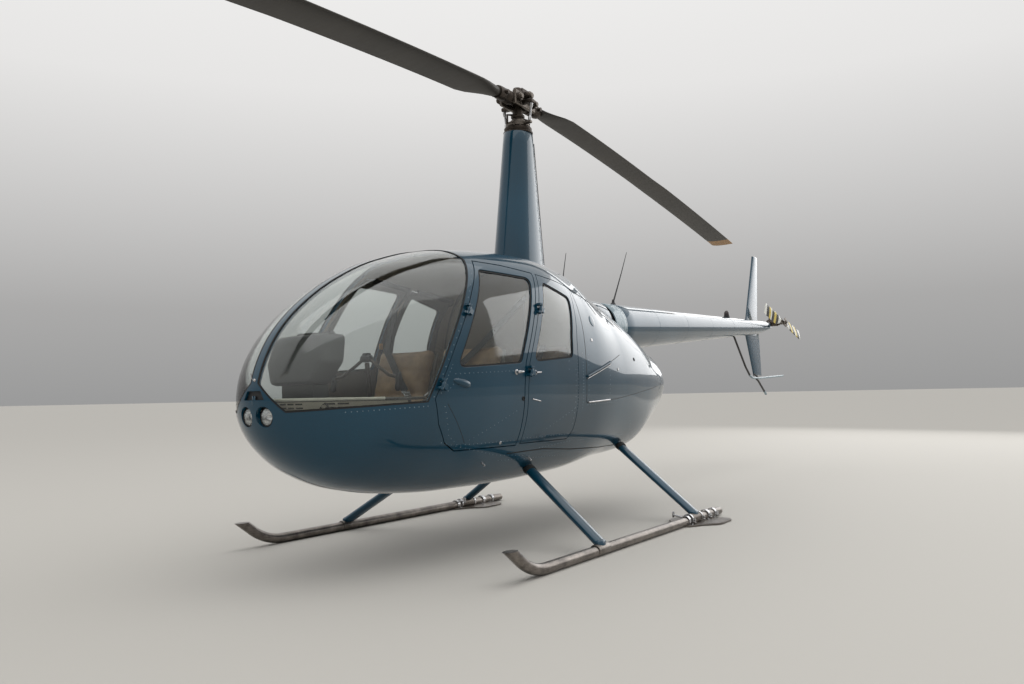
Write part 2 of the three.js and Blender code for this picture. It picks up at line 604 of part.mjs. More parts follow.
// every piece under its own name
const pieces = [
  ['hull', hull.subtract(join(lampRoom(76), lampRoom(-76), legRoom)), PAINT],
  ['roof_frame', roof, PAINT],
  ['windshield_left', screenLeft, GLASS],
  ['windshield_right', mirrored(screenLeft), GLASS],
  ['roof_cowl', roofAft, PAINT],
  ['engine_cowl_left', cowlLeft, PAINT],
  ['engine_cowl_right', mirrored(cowlLeft), PAINT],
  ['belly_cowl', belly.subtract(legRoom), PAINT],
  ['firewall', firewall, GREY],
  ['cabin_floor', floor.subtract(legRoom), GREY],
  ['front_seat_left', frontSeat, TAN],
  ['front_seat_right', mirrored(frontSeat), TAN],
  ['rear_seat', rearBench.subtract(legRoom), TAN],
  ['instrument_console', consoleBody, DARK],
  ['control_stick', stick, DARK],
  ['engine_block', engine, GREY],
  ['mast_fairing', mastFairing, PAINT],
  ['mast_cap', mastCap, STEEL],
  ['rotor_shaft', spin(rotorShaft), STEEL],
  ['rotor_hub', spin(hub), STEEL],
  ['main_blade_front', spin(mainBlade(1)), BLADE],
  ['main_blade_rear', spin(mainBlade(-1).rotate([0, 0, 180])), BLADE],
  ['tail_boom', tailBoom, PAINT],
  ['fin_upper', finUpper, PAINT],
  ['fin_lower', finLower, PAINT],
  ['stabilizer', stabilizer, PAINT],
  ['tail_gearbox', tailGear, DARK],
  ['tail_rotor_hub', tailHub, DARK],
  ['tail_blade_a', tailBladeA, BLADE],
  ['tail_blade_b', tailBladeB, BLADE],
  ['tail_guard', guard, PAINT],
  ['skid_left', leftSkid, ALLOY],
  ['skid_right', mirrored(leftSkid), ALLOY],
  ['leg_front', legFront, PAINT],
  ['leg_rear', legRear, PAINT],
  ['landing_light_left', lampLeft, LAMP],
  ['landing_light_right', lampRight, LAMP],
  ['door_front_left', doorFrontLeft, PAINT],
  ['door_front_right', mirrored(doorFrontLeft), PAINT],
  ['door_rear_left', doorRearLeft, PAINT],
  ['door_rear_right', mirrored(doorRearLeft), PAINT],
  ['window_front_left', windowFrontLeft, GLASS],
  ['window_front_right', mirrored(windowFrontLeft), GLASS],
  ['window_rear_left', windowRearLeft, GLASS],
  ['window_rear_right', mirrored(windowRearLeft), GLASS],
];

function toMesh(name, solid, material) {
  const moved = solid.translate([SHIFT_X, 0, 0]).simplify(0.12);
  const mesh = moved.getMesh();
  const points = new Float32Array(mesh.numVert * 3);
  for (let i = 0; i < mesh.numVert; i++) {
    for (let axis = 0; axis < 3; axis++) points[3 * i + axis] = mesh.vertProperties[mesh.numProp * i + axis];
  }
  const geometry = new THREE.BufferGeometry();
  geometry.setAttribute('position', new THREE.BufferAttribute(points, 3));
  geometry.setIndex(new THREE.BufferAttribute(new Uint32Array(mesh.triVerts), 1));
  geometry.computeVertexNormals();
  const object = new THREE.Mesh(geometry, material);
  object.name = name;
  return object;
}

const helicopter = new THREE.Group();
helicopter.name = 'helicopter';
for (const [name, solid, material] of pieces) helicopter.add(toMesh(name, solid, material));
export default helicopter;
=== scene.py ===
"""A light cabin helicopter on skids: its looks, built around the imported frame.

Metres. +X forward, +Y left, +Z up. Shapes are drawn around the main rotor's axis and moved
to the frame's place when they become pieces.
"""
import math

import bmesh
import bpy
import numpy as np
from mathutils import Matrix, Vector
from mathutils.geometry import delaunay_2d_cdt
from mathutils.kdtree import KDTree


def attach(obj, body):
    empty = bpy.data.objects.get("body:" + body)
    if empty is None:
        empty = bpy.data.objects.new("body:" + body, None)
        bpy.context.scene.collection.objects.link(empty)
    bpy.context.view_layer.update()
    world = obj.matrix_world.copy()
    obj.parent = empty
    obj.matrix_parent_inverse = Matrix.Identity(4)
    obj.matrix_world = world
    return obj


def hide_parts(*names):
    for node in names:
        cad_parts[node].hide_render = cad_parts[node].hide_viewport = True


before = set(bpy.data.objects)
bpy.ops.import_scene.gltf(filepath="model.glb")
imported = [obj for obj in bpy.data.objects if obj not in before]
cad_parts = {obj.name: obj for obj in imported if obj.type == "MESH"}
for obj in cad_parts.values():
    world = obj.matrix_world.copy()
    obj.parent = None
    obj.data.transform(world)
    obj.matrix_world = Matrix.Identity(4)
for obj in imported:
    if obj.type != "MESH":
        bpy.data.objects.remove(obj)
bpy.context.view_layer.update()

MAST_X = 0.7989  # how far the rotor's axis stands ahead of the frame's origin
SKIN = 0.028  # a panel or door is this thick
PANE_DEPTH = 0.009  # a window lies this far under the skin
ORIGIN = (0, 0, 0)
AHEAD, BACK, LEFT, UP = (1, 0, 0), (-1, 0, 0), (0, 1, 0), (0, 0, 1)
SEAL_WIDTH = 0.010
DOOR_GAP = 0.0055


# Colours and shader nodes
def linear(code):
    """An sRGB hex value as the linear colour that a shader takes."""
    channels = []
    for i in (1, 3, 5):
        c = int(code[i:i + 2], 16) / 255
        channels.append(c / 12.92 if c <= 0.04045 else ((c + 0.055) / 1.055) ** 2.4)
    return (*channels, 1.0)


def add(tree, kind, inputs=None, **settings):
    """Adds a node with its settings. An input's value may be another node's output socket."""
    node = tree.nodes.new(kind)
    for name, value in settings.items():
        setattr(node, name, value)
    for name, value in (inputs or {}).items():
        if isinstance(value, bpy.types.NodeSocket):
            tree.links.new(value, node.inputs[name])
        else:
            node.inputs[name].default_value = value
    return node


def finish(name, colour, roughness, **more):
    """A new material with its Principled shader, as (material, tree, shader, object coordinates)."""
    mat = bpy.data.materials.new(name)
    mat.use_nodes = True
    tree = mat.node_tree
    shader = tree.nodes["Principled BSDF"]
    shader.inputs["Base Color"].default_value = linear(colour)
    shader.inputs["Roughness"].default_value = roughness
    for socket, value in more.items():
        shader.inputs[socket.replace("_", " ")].default_value = value
    where = add(tree, "ShaderNodeTexCoord").outputs["Object"]
    return mat, tree, shader, where


def ramp(tree, factor, *stops):
    """A colour ramp with stops of (position, hex colour)."""
    node = add(tree, "ShaderNodeValToRGB", {"Fac": factor})
    elements = node.color_ramp.elements
    while len(elements) < len(stops):
        elements.new(0.5)
    for element, (place, code) in zip(elements, stops):
        element.position = place
        element.color = linear(code)
    return node.outputs["Color"]


def spread(tree, factor, low, high):
    """A grey value from 0 to 1 stretched between low and high."""
    return add(tree, "ShaderNodeMapRange", {
        "Value": factor, "To Min": low, "To Max": high}).outputs["Result"]


def noise(tree, where, size, detail=3.0, rough=0.5):
    """Noise whose lumps are about size metres across."""
    return add(tree, "ShaderNodeTexNoise", {
        "Vector": where, "Scale": 1 / size, "Detail": detail, "Roughness": rough}).outputs["Fac"]


def bump(tree, height, depth, strength=1.0):
    """A bump of depth metres."""
    return add(tree, "ShaderNodeBump", {
        "Height": height, "Distance": depth, "Strength": strength}).outputs["Normal"]


def joined(tree, kind, a, b):
    """Two values put together by a math operation."""
    return add(tree, "ShaderNodeMath", {0: a, 1: b}, operation=kind).outputs[0]


# Materials
def metallic_paint():
    """Deep teal aircraft paint, sprayed with fine metal flake under a polished clear coat.

    The coat mirrors the room sharply; the flake gives the broad glow underneath.
    """
    mat, tree, shader, where = finish(
        "metallic_teal_paint", "#013c56", 0.36, Metallic=0.12, Coat_Weight=1.0,
        Coat_Roughness=0.02, Coat_IOR=1.43, Specular_IOR_Level=0.15)
    cloudy = noise(tree, where, 0.9, 2.0)
    flake = noise(tree, where, 0.0035, 1.0)
    shade = ramp(tree, joined(tree, "ADD", spread(tree, cloudy, 0.25, 0.6), spread(tree, flake, -0.1, 0.1)),
                 (0.2, "#001f2c"), (0.5, "#003c52"), (0.8, "#005f7b"))
    tree.links.new(shade, shader.inputs["Base Color"])
    dust = noise(tree, where, 0.25, 6.0, 0.6)
    tree.links.new(spread(tree, dust, 0.26, 0.4), shader.inputs["Roughness"])
    # sprayed paint on thin sheet has long, shallow waves
    tree.links.new(bump(tree, noise(tree, where, 0.16, 1.0), 0.0012, 0.35), shader.inputs["Normal"])
    return mat


def clear_acrylic(name, tint):
    """Polished acrylic sheet: a clear film with a mirror-like face."""
    mat, tree, shader, where = finish(name, tint, 0.02, IOR=1.49)
    shader.inputs["Transmission Weight"].default_value = 1.0
    smear = noise(tree, where, 0.35, 4.0, 0.65)
    tree.links.new(spread(tree, smear, 0.0, 0.06), shader.inputs["Roughness"])
    path = add(tree, "ShaderNodeLightPath")
    through = add(tree, "ShaderNodeBsdfTransparent", {"Color": linear("#d9dedb")})
    share = add(tree, "ShaderNodeMixShader", {
        0: path.outputs["Is Shadow Ray"], 1: shader.outputs[0], 2: through.outputs[0]})
    tree.links.new(share.outputs[0], tree.nodes["Material Output"].inputs["Surface"])
    return mat


def plain(name, low, high, roughness, grain, depth, **more):
    """A finish with two mixed shades, a grain of the given size and a slight bump."""
    mat, tree, shader, where = finish(name, low, roughness[0], **more)
    patches = noise(tree, where, grain * 40, 3.0)
    grains = noise(tree, where, grain, 4.0, 0.6)
    mixed = joined(tree, "ADD", spread(tree, patches, 0.0, 0.6), spread(tree, grains, 0.0, 0.4))
    tree.links.new(ramp(tree, mixed, (0.25, low), (0.75, high)), shader.inputs["Base Color"])
    tree.links.new(spread(tree, patches, *roughness), shader.inputs["Roughness"])
    tree.links.new(bump(tree, grains, depth), shader.inputs["Normal"])
    return mat


def blade_paint():
    """Matt dark paint on the blades, chalky and rubbed, with rain streaks along the chord."""
    mat, tree, shader, where = finish("matt_blade_paint", "#34312c", 0.55)
    streak = add(tree, "ShaderNodeMapping", {"Vector": where, "Scale": (1.0, 0.12, 1.0)})
    worn = noise(tree, streak.outputs[0], 0.02, 5.0, 0.65)
    broad = noise(tree, where, 0.5, 3.0)
    mixed = joined(tree, "ADD", spread(tree, worn, 0.0, 0.5), spread(tree, broad, 0.0, 0.5))
    tree.links.new(ramp(tree, mixed, (0.25, "#24221e"), (0.6, "#393530"), (0.85, "#4a4640")),
                   shader.inputs["Base Color"])
    tree.links.new(spread(tree, worn, 0.42, 0.65), shader.inputs["Roughness"])
    tree.links.new(bump(tree, worn, 0.0002), shader.inputs["Normal"])
    return mat


def scuffed_metal(name, low, high, roughness, scratch=0.004):
    """Bare metal with scratches along X, a little oxide and polished spots."""
    mat, tree, shader, where = finish(name, high, roughness[0], Metallic=0.9)
    drawn = add(tree, "ShaderNodeMapping", {"Vector": where, "Scale": (0.06, 1.0, 1.0)})
    lines = noise(tree, drawn.outputs[0], scratch, 5.0, 0.7)
    oxide = noise(tree, where, 0.07, 5.0, 0.6)
    mixed = joined(tree, "ADD", spread(tree, lines, 0.0, 0.35), spread(tree, oxide, 0.0, 0.65))
    tree.links.new(ramp(tree, mixed, (0.3, low), (0.7, high)), shader.inputs["Base Color"])
    tree.links.new(spread(tree, mixed, *roughness), shader.inputs["Roughness"])
    tree.links.new(bump(tree, lines, 0.0002), shader.inputs["Normal"])
    return mat


def leather():
    """Tan seat leather: pebbled grain, with darker and paler patches at random."""
    mat, tree, shader, where = finish("tan_seat_leather", "#8d7256", 0.5)
    pebbles = add(tree, "ShaderNodeTexVoronoi", {"Vector": where, "Scale": 260.0}).outputs["Distance"]
    patches = noise(tree, where, 0.12, 4.0, 0.6)
    tree.links.new(ramp(tree, patches, (0.3, "#6f573e"), (0.6, "#8e7355"), (0.8, "#a08565")),
                   shader.inputs["Base Color"])
    tree.links.new(spread(tree, patches, 0.42, 0.6), shader.inputs["Roughness"])
    tree.links.new(bump(tree, pebbles, 0.0004), shader.inputs["Normal"])
    return mat


def webbing():
    """Black polyester belt webbing with its woven ribs, about 2 mm apart."""
    mat, tree, shader, where = finish("belt_webbing", "#17181a", 0.75)
    ribs = add(tree, "ShaderNodeTexWave", {"Vector": where, "Scale": 160.0, "Distortion": 1.0})
    tree.links.new(ramp(tree, ribs.outputs["Fac"], (0.2, "#101113"), (0.8, "#25272a")),
                   shader.inputs["Base Color"])
    tree.links.new(bump(tree, ribs.outputs["Fac"], 0.0005), shader.inputs["Normal"])
    return mat


def headlining():
    """Beige woven headlining: coarse threads, drawn 3 mm apart so that they show."""
    mat, tree, shader, where = finish("beige_headlining", "#8f8577", 0.9)
    warp = add(tree, "ShaderNodeTexWave", {"Vector": where, "Scale": 100.0}, bands_direction="X")
    weft = add(tree, "ShaderNodeTexWave", {"Vector": where, "Scale": 100.0}, bands_direction="Y")
    threads = joined(tree, "MULTIPLY", warp.outputs["Fac"], weft.outputs["Fac"])
    patches = noise(tree, where, 0.3, 3.0)
    mixed = joined(tree, "ADD", spread(tree, threads, 0.0, 0.3), spread(tree, patches, 0.1, 0.7))
    tree.links.new(ramp(tree, mixed, (0.2, "#7b7164"), (0.8, "#a2988a")), shader.inputs["Base Color"])
    tree.links.new(bump(tree, threads, 0.0006), shader.inputs["Normal"])
    return mat


PAINT = metallic_paint()
ACRYLIC = clear_acrylic("clear_acrylic_sheet", "#eef3f1")
LENS = clear_acrylic("lamp_lens_glass", "#f6f8f7")
BLADE = blade_paint()
TIP = plain("tan_tip_paint", "#8f6a3f", "#b58d5c", (0.45, 0.6), 0.002, 0.0001)
BLACK = plain("satin_black_plastic", "#141517", "#1e2023", (0.45, 0.6), 0.0008, 0.0001)
GREY_VINYL = plain("dark_grey_vinyl", "#2c2b2b", "#3b3a39", (0.5, 0.68), 0.001, 0.0002)
TRIM = plain("grey_cabin_trim", "#4a4640", "#5d5850", (0.6, 0.75), 0.001, 0.0001)
BEIGE = plain("beige_moulded_plastic", "#9c9384", "#b0a797", (0.5, 0.65), 0.001, 0.0001)
CREAM = plain("cream_edge_moulding", "#b9b3a6", "#d0cabd", (0.4, 0.5), 0.001, 0.0001)
RUBBER = plain("black_rubber_seal", "#0e0f10", "#191a1b", (0.7, 0.85), 0.0006, 0.0001)
CARPET = plain("dark_carpet", "#24231f", "#3a3832", (0.9, 1.0), 0.003, 0.002)
STEEL = scuffed_metal("worn_rotor_steel", "#433d38", "#7c746c", (0.32, 0.5))
DARK_STEEL = scuffed_metal("oiled_dark_steel", "#28231f", "#544c46", (0.35, 0.55))
ALLOY = scuffed_metal("scuffed_skid_alloy", "#4b4643", "#98918a", (0.22, 0.4), 0.006)
BRIGHT = scuffed_metal("bright_clamp_steel", "#8d8d8f", "#c9c9ca", (0.18, 0.32))
CHROME = scuffed_metal("lamp_reflector_chrome", "#cfd1d2", "#ececec", (0.06, 0.14))
# pale grey-blue: on the boom's collar it is a painted sky reflection over teal paint, on the tail guard's
# lower part it is pale paint
PALE_PAINT_AND_SHEEN = plain("pale_paint_and_painted_sky_sheen", "#6f828b", "#8b9ca3", (0.22, 0.32), 0.001, 0.0001)
WHITE = plain("white_marking_paint", "#cfcfca", "#e4e4df", (0.4, 0.5), 0.001, 0.0001)
SMOKED = plain("smoked_beacon_plastic", "#2c2526", "#443b3b", (0.12, 0.2), 0.002, 0.0001)
# rivet heads mixed at random between teal and a pale grey-blue; the pale grey-blue is a painted glint on the
# domed heads
GLINTING_RIVET_PAINT = plain("rivet_heads_with_painted_glint", "#1c4a63", "#7e97a3", (0.25, 0.4), 0.01, 0.0,
              Coat_Weight=0.6)
LEATHER = leather()
BELT = webbing()
LINING = headlining()


# Points and faces
class Shape:
    """Points and faces gathered for one piece; each face carries the number of its finish."""

    def __init__(self):
        self.points = []
        self.faces = []
        self.finishes = []

    def put(self, part, number=0, both_sides=False):
        """Adds a part, and with both_sides its mirror image on the right."""
        points, faces = part
        first = len(self.points)
        self.points += [tuple(p) for p in points]
        self.faces += [[first + i for i in face] for face in faces]
        self.finishes += [number] * len(faces)
        if both_sides:
            self.put(beside(part, -1), number)
        return self

    def piece(self, name, body, finishes, slot, nodes=(), sharp=34):
        """Makes the mesh, moved to the frame's place, and lets it ride on its body."""
        mesh = bpy.data.meshes.new(name)
        mesh.from_pydata([(p[0] + MAST_X, p[1], p[2]) for p in self.points], [], self.faces)
        for i, polygon in enumerate(mesh.polygons):
            polygon.material_index = self.finishes[i]
        work = bmesh.new()
        work.from_mesh(mesh)
        bmesh.ops.remove_doubles(work, verts=work.verts, dist=1e-6)
        bmesh.ops.recalc_face_normals(work, faces=work.faces)
        work.to_mesh(mesh)
        work.free()
        for material in finishes:
            mesh.materials.append(material)
        shade(mesh, sharp)
        return settle(mesh, name, body, nodes)


def shade(mesh, sharp):
    """Smooth shading, with edges sharper than the angle kept crisp."""
    mesh.polygons.foreach_set("use_smooth", [True] * len(mesh.polygons))
    mesh.set_sharp_from_angle(angle=math.radians(sharp))
    mesh.update()


def settle(mesh, name, body, nodes=()):
    """Links a mesh as a piece that rides on a body, and may stand for CAD nodes."""
    thing = linked(name, mesh)
    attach(thing, body)
    if nodes:
        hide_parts(*nodes)
    return thing


def linked(name, data):
    """A new object in the scene."""
    thing = bpy.data.objects.new(name, data)
    bpy.context.scene.collection.objects.link(thing)
    return thing


def applied(thing):
    """A new mesh of an object with its modifiers applied."""
    bpy.context.view_layer.update()
    graph = bpy.context.evaluated_depsgraph_get()
    return bpy.data.meshes.new_from_object(thing.evaluated_get(graph))


def vertex_places(mesh):
    """A mesh's points as an array of rows."""
    points = np.zeros(len(mesh.vertices) * 3)
    mesh.vertices.foreach_get("co", points)
    return points.reshape(-1, 3)


def rings_joined(rings, capped=True):
    """A skin over rings with the same number of points each."""
    count = len(rings[0])
    points = [p for ring in rings for p in ring]
    faces = []
    for i in range(len(rings) - 1):
        for j in range(count):
            k = (j + 1) % count
            faces.append([i * count + j, i * count + k, (i + 1) * count + k, (i + 1) * count + j])
    if capped:
        faces.append(list(range(count))[::-1])
        faces.append([(len(rings) - 1) * count + j for j in range(count)])
    return points, faces


def across(direction):
    """Two unit vectors square to a direction and to each other."""
    d = Vector(direction).normalized()
    side = Vector((0, 0, 1)).cross(d)
    if side.length < 1e-3:
        side = Vector((0, 1, 0)).cross(d)
    side.normalize()
    return side, d.cross(side)


def end_capped(rings):
    """A skin over rings, closed at its last ring only."""
    points, faces = rings_joined(rings, capped=False)
    count = len(rings[0])
    faces.append([len(points) - count + j for j in range(count)])
    return points, faces


def tube(path, radius, sides=20):
    """A round bar along a path. radius may be one number or one for each point."""
    points = [Vector(p) for p in path]
    radii = radius if hasattr(radius, "__len__") else [radius] * len(points)
    side, up = across(points[1] - points[0])
    rings = []
    for i, p in enumerate(points):
        before = (p - points[i - 1]).normalized() if i else (points[1] - p).normalized()
        after = (points[i + 1] - p).normalized() if i + 1 < len(points) else before
        way = (before + after).normalized()
        side = (side - way * side.dot(way)).normalized()
        up = way.cross(side)
        rings.append([p + side * (radii[i] * math.cos(math.tau * j / sides))
                      + up * (radii[i] * math.sin(math.tau * j / sides)) for j in range(sides)])
    return rings_joined(rings)


def corner_arc(a, b, c, radius, steps):
    """Points that round the corner b between a and c."""
    to_a, to_c = (a - b).normalized(), (c - b).normalized()
    half = to_a.angle(to_c) / 2
    reach = min(radius / math.tan(half), 0.45 * (a - b).length, 0.45 * (c - b).length)
    start, end = b + to_a * reach, b + to_c * reach
    arc = []
    for k in range(steps + 1):
        t = k / steps
        arc.append(start * (1 - t) ** 2 + b * (2 * t * (1 - t)) + end * t ** 2)
    return arc


def rounded_path(path, radius, steps=8):
    """The path with each corner replaced by an arc."""
    points = [Vector(p) for p in path]
    out = [points[0]]
    for a, b, c in zip(points, points[1:], points[2:]):
        out += corner_arc(a, b, c, radius, steps)
    return out + [points[-1]]


def turned(profile, base, direction, sides=32):
    """A profile of (radius, height) turned about an axis. Zero radius closes an end."""
    side, up = across(direction)
    d = Vector(direction).normalized()
    rings = [[Vector(base) + d * h + (side * math.cos(math.tau * j / sides)
              + up * math.sin(math.tau * j / sides)) * max(r, 1e-5) for j in range(sides)]
             for r, h in profile]
    return rings_joined(rings, profile[0] != profile[-1])


def block(low, high, edge=0.003):
    """A box with chamfered edges."""
    ends = (low, high)
    points = []
    for sx in (0, 1):
        for sy in (0, 1):
            for sz in (0, 1):
                corner = Vector((ends[sx][0], ends[sy][1], ends[sz][2]))
                inward = Vector((1 - 2 * sx, 1 - 2 * sy, 1 - 2 * sz)) * edge
                for axis in range(3):
                    p = corner + inward
                    p[axis] = corner[axis]
                    points.append(p)
    return wrapped(points)


def wrapped(points):
    """The convex skin round some points."""
    work = bmesh.new()
    for p in points:
        work.verts.new(p)
    bmesh.ops.convex_hull(work, input=work.verts)
    bmesh.ops.dissolve_limit(work, angle_limit=0.01, verts=work.verts, edges=work.edges)
    for v in [v for v in work.verts if not v.link_faces]:
        work.verts.remove(v)
    work.verts.index_update()
    part = [v.co.copy() for v in work.verts], [[v.index for v in f.verts] for f in work.faces]
    work.free()
    return part


def placed(part, matrix):
    """A part moved by a matrix."""
    points, faces = part
    return [matrix @ Vector(p) for p in points], faces


def beside(part, side):
    """The part itself, or its mirror image on the right where side is -1."""
    if side > 0:
        return part
    points, faces = part
    return [(p[0], -p[1], p[2]) for p in points], [face[::-1] for face in faces]


def slab(outline, low, high, axis=1):
    """A flat outline drawn out between two places along an axis, 0, 1 or 2."""
    def point(a, b, c):
        return {0: (c, a, b), 1: (a, c, b), 2: (a, b, c)}[axis]
    return rings_joined([[point(a, b, place) for a, b in outline] for place in (low, high)])


# The cabin's form: station, top, bottom, half width, height of the widest point, roundness
# above and below, in millimetres from the rotor's axis, as in the part's own source.
STATIONS = np.array([
    [-2010, 1085, 1075, 0, 1080, 2.0, 2.0],
    [-1990, 1150, 1000, 110, 1075, 2.0, 2.0],
    [-1920, 1220, 880, 215, 1060, 1.9, 2.0],
    [-1780, 1300, 760, 325, 1050, 1.9, 2.0],
    [-1400, 1470, 615, 450, 1040, 1.8, 2.3],
    [-1000, 1630, 487, 540, 1050, 1.8, 2.7],
    [-500, 1800, 445, 610, 1050, 1.8, 2.4],
    [0, 1920, 390, 640, 1050, 2.3, 2.4],
    [600, 1910, 370, 640, 1050, 3.5, 2.4],
    [1200, 1870, 375, 615, 1030, 3.3, 2.4],
    [1600, 1770, 400, 570, 1000, 2.75, 2.3],
    [1900, 1638, 450, 510, 970, 2.15, 2.2],
    [2150, 1475, 540, 420, 955, 2.0, 2.1],
    [2320, 1310, 650, 310, 950, 2.0, 2.0],
    [2420, 1140, 770, 180, 950, 2.0, 2.0],
    [2460, 960, 940, 0, 950, 2.0, 2.0],
])
MIDDLE, HALF_LENGTH, GIRTH = 0.225, 2.235, 0.65
TAIL_END, NOSE_END = -2.0099, 2.4599  # the skin's last places


def curve(xs, ys):
    """A monotone cubic curve through the points."""
    step = np.diff(xs)
    slope = np.diff(ys) / step
    tangent = np.zeros(len(xs))
    tangent[0], tangent[-1] = slope[0], slope[-1]
    for i in range(1, len(xs) - 1):
        if slope[i - 1] * slope[i] > 0:
            w0, w1 = 2 * step[i] + step[i - 1], step[i] + 2 * step[i - 1]
            tangent[i] = (w0 + w1) / (w0 / slope[i - 1] + w1 / slope[i])

    def at(x):
        i = np.clip(np.searchsorted(xs, x, side="right") - 1, 0, len(step) - 1)
        t, h = (x - xs[i]) / step[i], step[i]
        return ((2 * t ** 3 - 3 * t ** 2 + 1) * ys[i] + (t ** 3 - 2 * t ** 2 + t) * h * tangent[i]
                + (-2 * t ** 3 + 3 * t ** 2) * ys[i + 1] + (t ** 3 - t ** 2) * h * tangent[i + 1])
    return at


def along(x):
    """Length along the cabin as an angle, which keeps both ends round."""
    return np.arcsin(np.clip((np.asarray(x, float) - MIDDLE) / HALF_LENGTH, -1, 1))


TABLES = [curve(along(STATIONS[:, 0] / 1000), STATIONS[:, k] / (1000 if k < 5 else 1))
          for k in range(1, 7)]


def form(x):
    """Top, bottom, half width, widest height and the two roundness powers at x."""
    q = along(x)
    return [table(q) for table in TABLES]


def on_section(x, angle):
    """Points on the skin at x and an angle round the section, 0 at the left, 90 degrees at the top."""
    top, bottom, half, widest, upper, lower = form(x)
    c, s = np.cos(angle), np.sin(angle)
    power = 2 / np.where(s >= 0, upper, lower)
    tall = np.where(s >= 0, top - widest, widest - bottom)
    y = np.abs(c) ** power * half
    z = widest + np.sign(s) * np.abs(s) ** power * tall
    return np.stack([x, y, z], -1)


def angle_of(x, z):
    """The angle round the section where the left skin has this height."""
    top, bottom, _, widest, upper, lower = form(x)
    tall = np.where(z >= widest, top - widest, widest - bottom)
    share = np.clip(np.abs(z - widest) / np.maximum(tall, 1e-6), 0, 1)
    return np.sign(z - widest) * np.arcsin(share ** (np.where(z >= widest, upper, lower) / 2))


def level(points):
    """Zero on the skin, above zero outside it."""
    x, y, z = points[..., 0], points[..., 1], points[..., 2]
    top, bottom, half, widest, upper, lower = form(np.clip(x, TAIL_END, NOSE_END))
    power = np.where(z >= widest, upper, lower)
    tall = np.where(z >= widest, top - widest, widest - bottom)
    return ((np.abs(y) / np.maximum(half, 1e-5)) ** power
            + (np.abs(z - widest) / np.maximum(tall, 1e-5)) ** power) ** (1 / power) - 1


def outward(points):
    """Unit vectors square to the skin at points on or near it."""
    points = np.asarray(points, float)
    step = 0.0004
    grad = np.stack([level(points + step * axis) - level(points - step * axis)
                     for axis in np.eye(3)], -1)
    return grad / np.maximum(np.linalg.norm(grad, axis=-1, keepdims=True), 1e-9)


def spot(x, z, lift=0.0, side=1):
    """The point on the skin beside (x, z), lifted off it, and the direction outwards."""
    p = on_section(np.array([x]), angle_of(np.array([x]), np.array([z])))
    n = outward(p)
    p = (p + n * lift)[0]
    return Vector((p[0], p[1] * side, p[2])), Vector((n[0][0], n[0][1] * side, n[0][2]))


# Outlines on the side of the cabin, in X and Z, in metres from the rotor's axis
def metres(points):
    """Pairs in millimetres as pairs in metres."""
    return [(a / 1000, b / 1000) for a, b in points]


FRONT_WALL = 0.170
FRONT_DOOR = metres([
    (1200, 1765), (1345, 1548), (1532, 1230), (1688, 940), (1650, 805), (1575, 700), (1480, 650),
    (927, 650), (927, 1000), (910, 1155), (689, 1712), (684, 1738), (974, 1760)])
REAR_DOOR = metres([
    (640, 1733), (645, 1712), (866, 1155), (883, 1000), (883, 660), (330, 660), (290, 720),
    (285, 1050), (285, 1320), (250, 1540), (200, 1690), (400, 1714)])
FRONT_WINDOW = metres([(1208, 1713), (1530, 1112), (951, 1150), (729, 1703)])
REAR_WINDOW = metres([(606, 1690), (825, 1159), (346, 1200), (338, 1340), (272, 1615)])
SCREEN = metres([
    (1738, 925), (1978, 914), (2226, 902), (2412, 888), (3000, 850), (3000, 2500), (1252, 2500),
    (1252, 1772), (1385, 1551), (1572, 1230)])
NOSE_VEE = metres([
    (-187, 888), (-105, 964), (-22, 1040), (22, 1040), (105, 964), (187, 888), (187, 300), (-187, 300)])
LOW_SPLIT = metres([
    (170, 655), (1000, 655), (1000, 800), (1600, 935), (3000, 935), (3000, 100), (170, 100)])
ROOF_SEAM = metres([(220, 1697), (-555, 1537), (-760, 1440)])
ROOF_REGION = ROOF_SEAM + metres([(-760, 2200), (220, 2200)])
SIDE_SEAM = metres([(220, 900), (-306, 916), (-789, 962), (-1328, 1010), (-2100, 1080)])
BELLY_REGION = SIDE_SEAM + metres([(-2100, 100), (220, 100)])
POST_HALF = 0.022  # half the width of the post between the two windshield halves
VENT = metres([(-50, 1000), (50, 1000), (76, 954), (-76, 954)])  # in Y and Z
LAMP_Y, LAMP_Z, LAMP_R = 0.067, 0.869, 0.052  # the round landing lamps, in Y and Z
LAMP_HOLE = [(LAMP_Y + LAMP_R * math.cos(math.tau * k / 40), LAMP_Z + LAMP_R * math.sin(math.tau * k / 40))
             for k in range(40)]
LOUVRES = [metres([(-1470 - 88 * k, 1262 - 31 * k), (-1498 - 88 * k, 1286 - 33 * k),
                   (-1560 - 88 * k, 1252 - 33 * k), (-1532 - 88 * k, 1230 - 31 * k)]) for k in range(3)]


def grown(outline, by):
    """A closed outline moved outwards by a distance, with mitred corners."""
    area = sum(a[0] * b[1] - b[0] * a[1] for a, b in zip(outline, outline[1:] + outline[:1]))
    sign = 1 if area > 0 else -1
    out = []
    for i, p in enumerate(outline):
        a, b = Vector(outline[i - 1]), Vector(outline[(i + 1) % len(outline)])
        p = Vector(p)
        one, two = (p - a).normalized(), (b - p).normalized()
        n1, n2 = Vector((one.y, -one.x)) * sign, Vector((two.y, -two.x)) * sign
        both = n1 + n2
        out.append(tuple(p + both * (by * 2 / both.length_squared)))
    return out


def eased(outline, radius, steps=6):
    """A closed outline with rounded corners."""
    points = [Vector(p) for p in outline]
    out = []
    for i, p in enumerate(points):
        arc = corner_arc(points[i - 1], p, points[(i + 1) % len(points)], radius, steps)
        out += [tuple(q) for q in arc]
    return out


def inside(outline, a, b):
    """For arrays of coordinates, True where a point is in the outline."""
    found = np.zeros(len(a), bool)
    for (x0, y0), (x1, y1) in zip(outline, outline[1:] + outline[:1]):
        if y0 == y1:
            continue
        crosses = (y0 > b) != (y1 > b)
        found ^= crosses & (a < (x1 - x0) * (b - y0) / (y1 - y0) + x0)
    return found


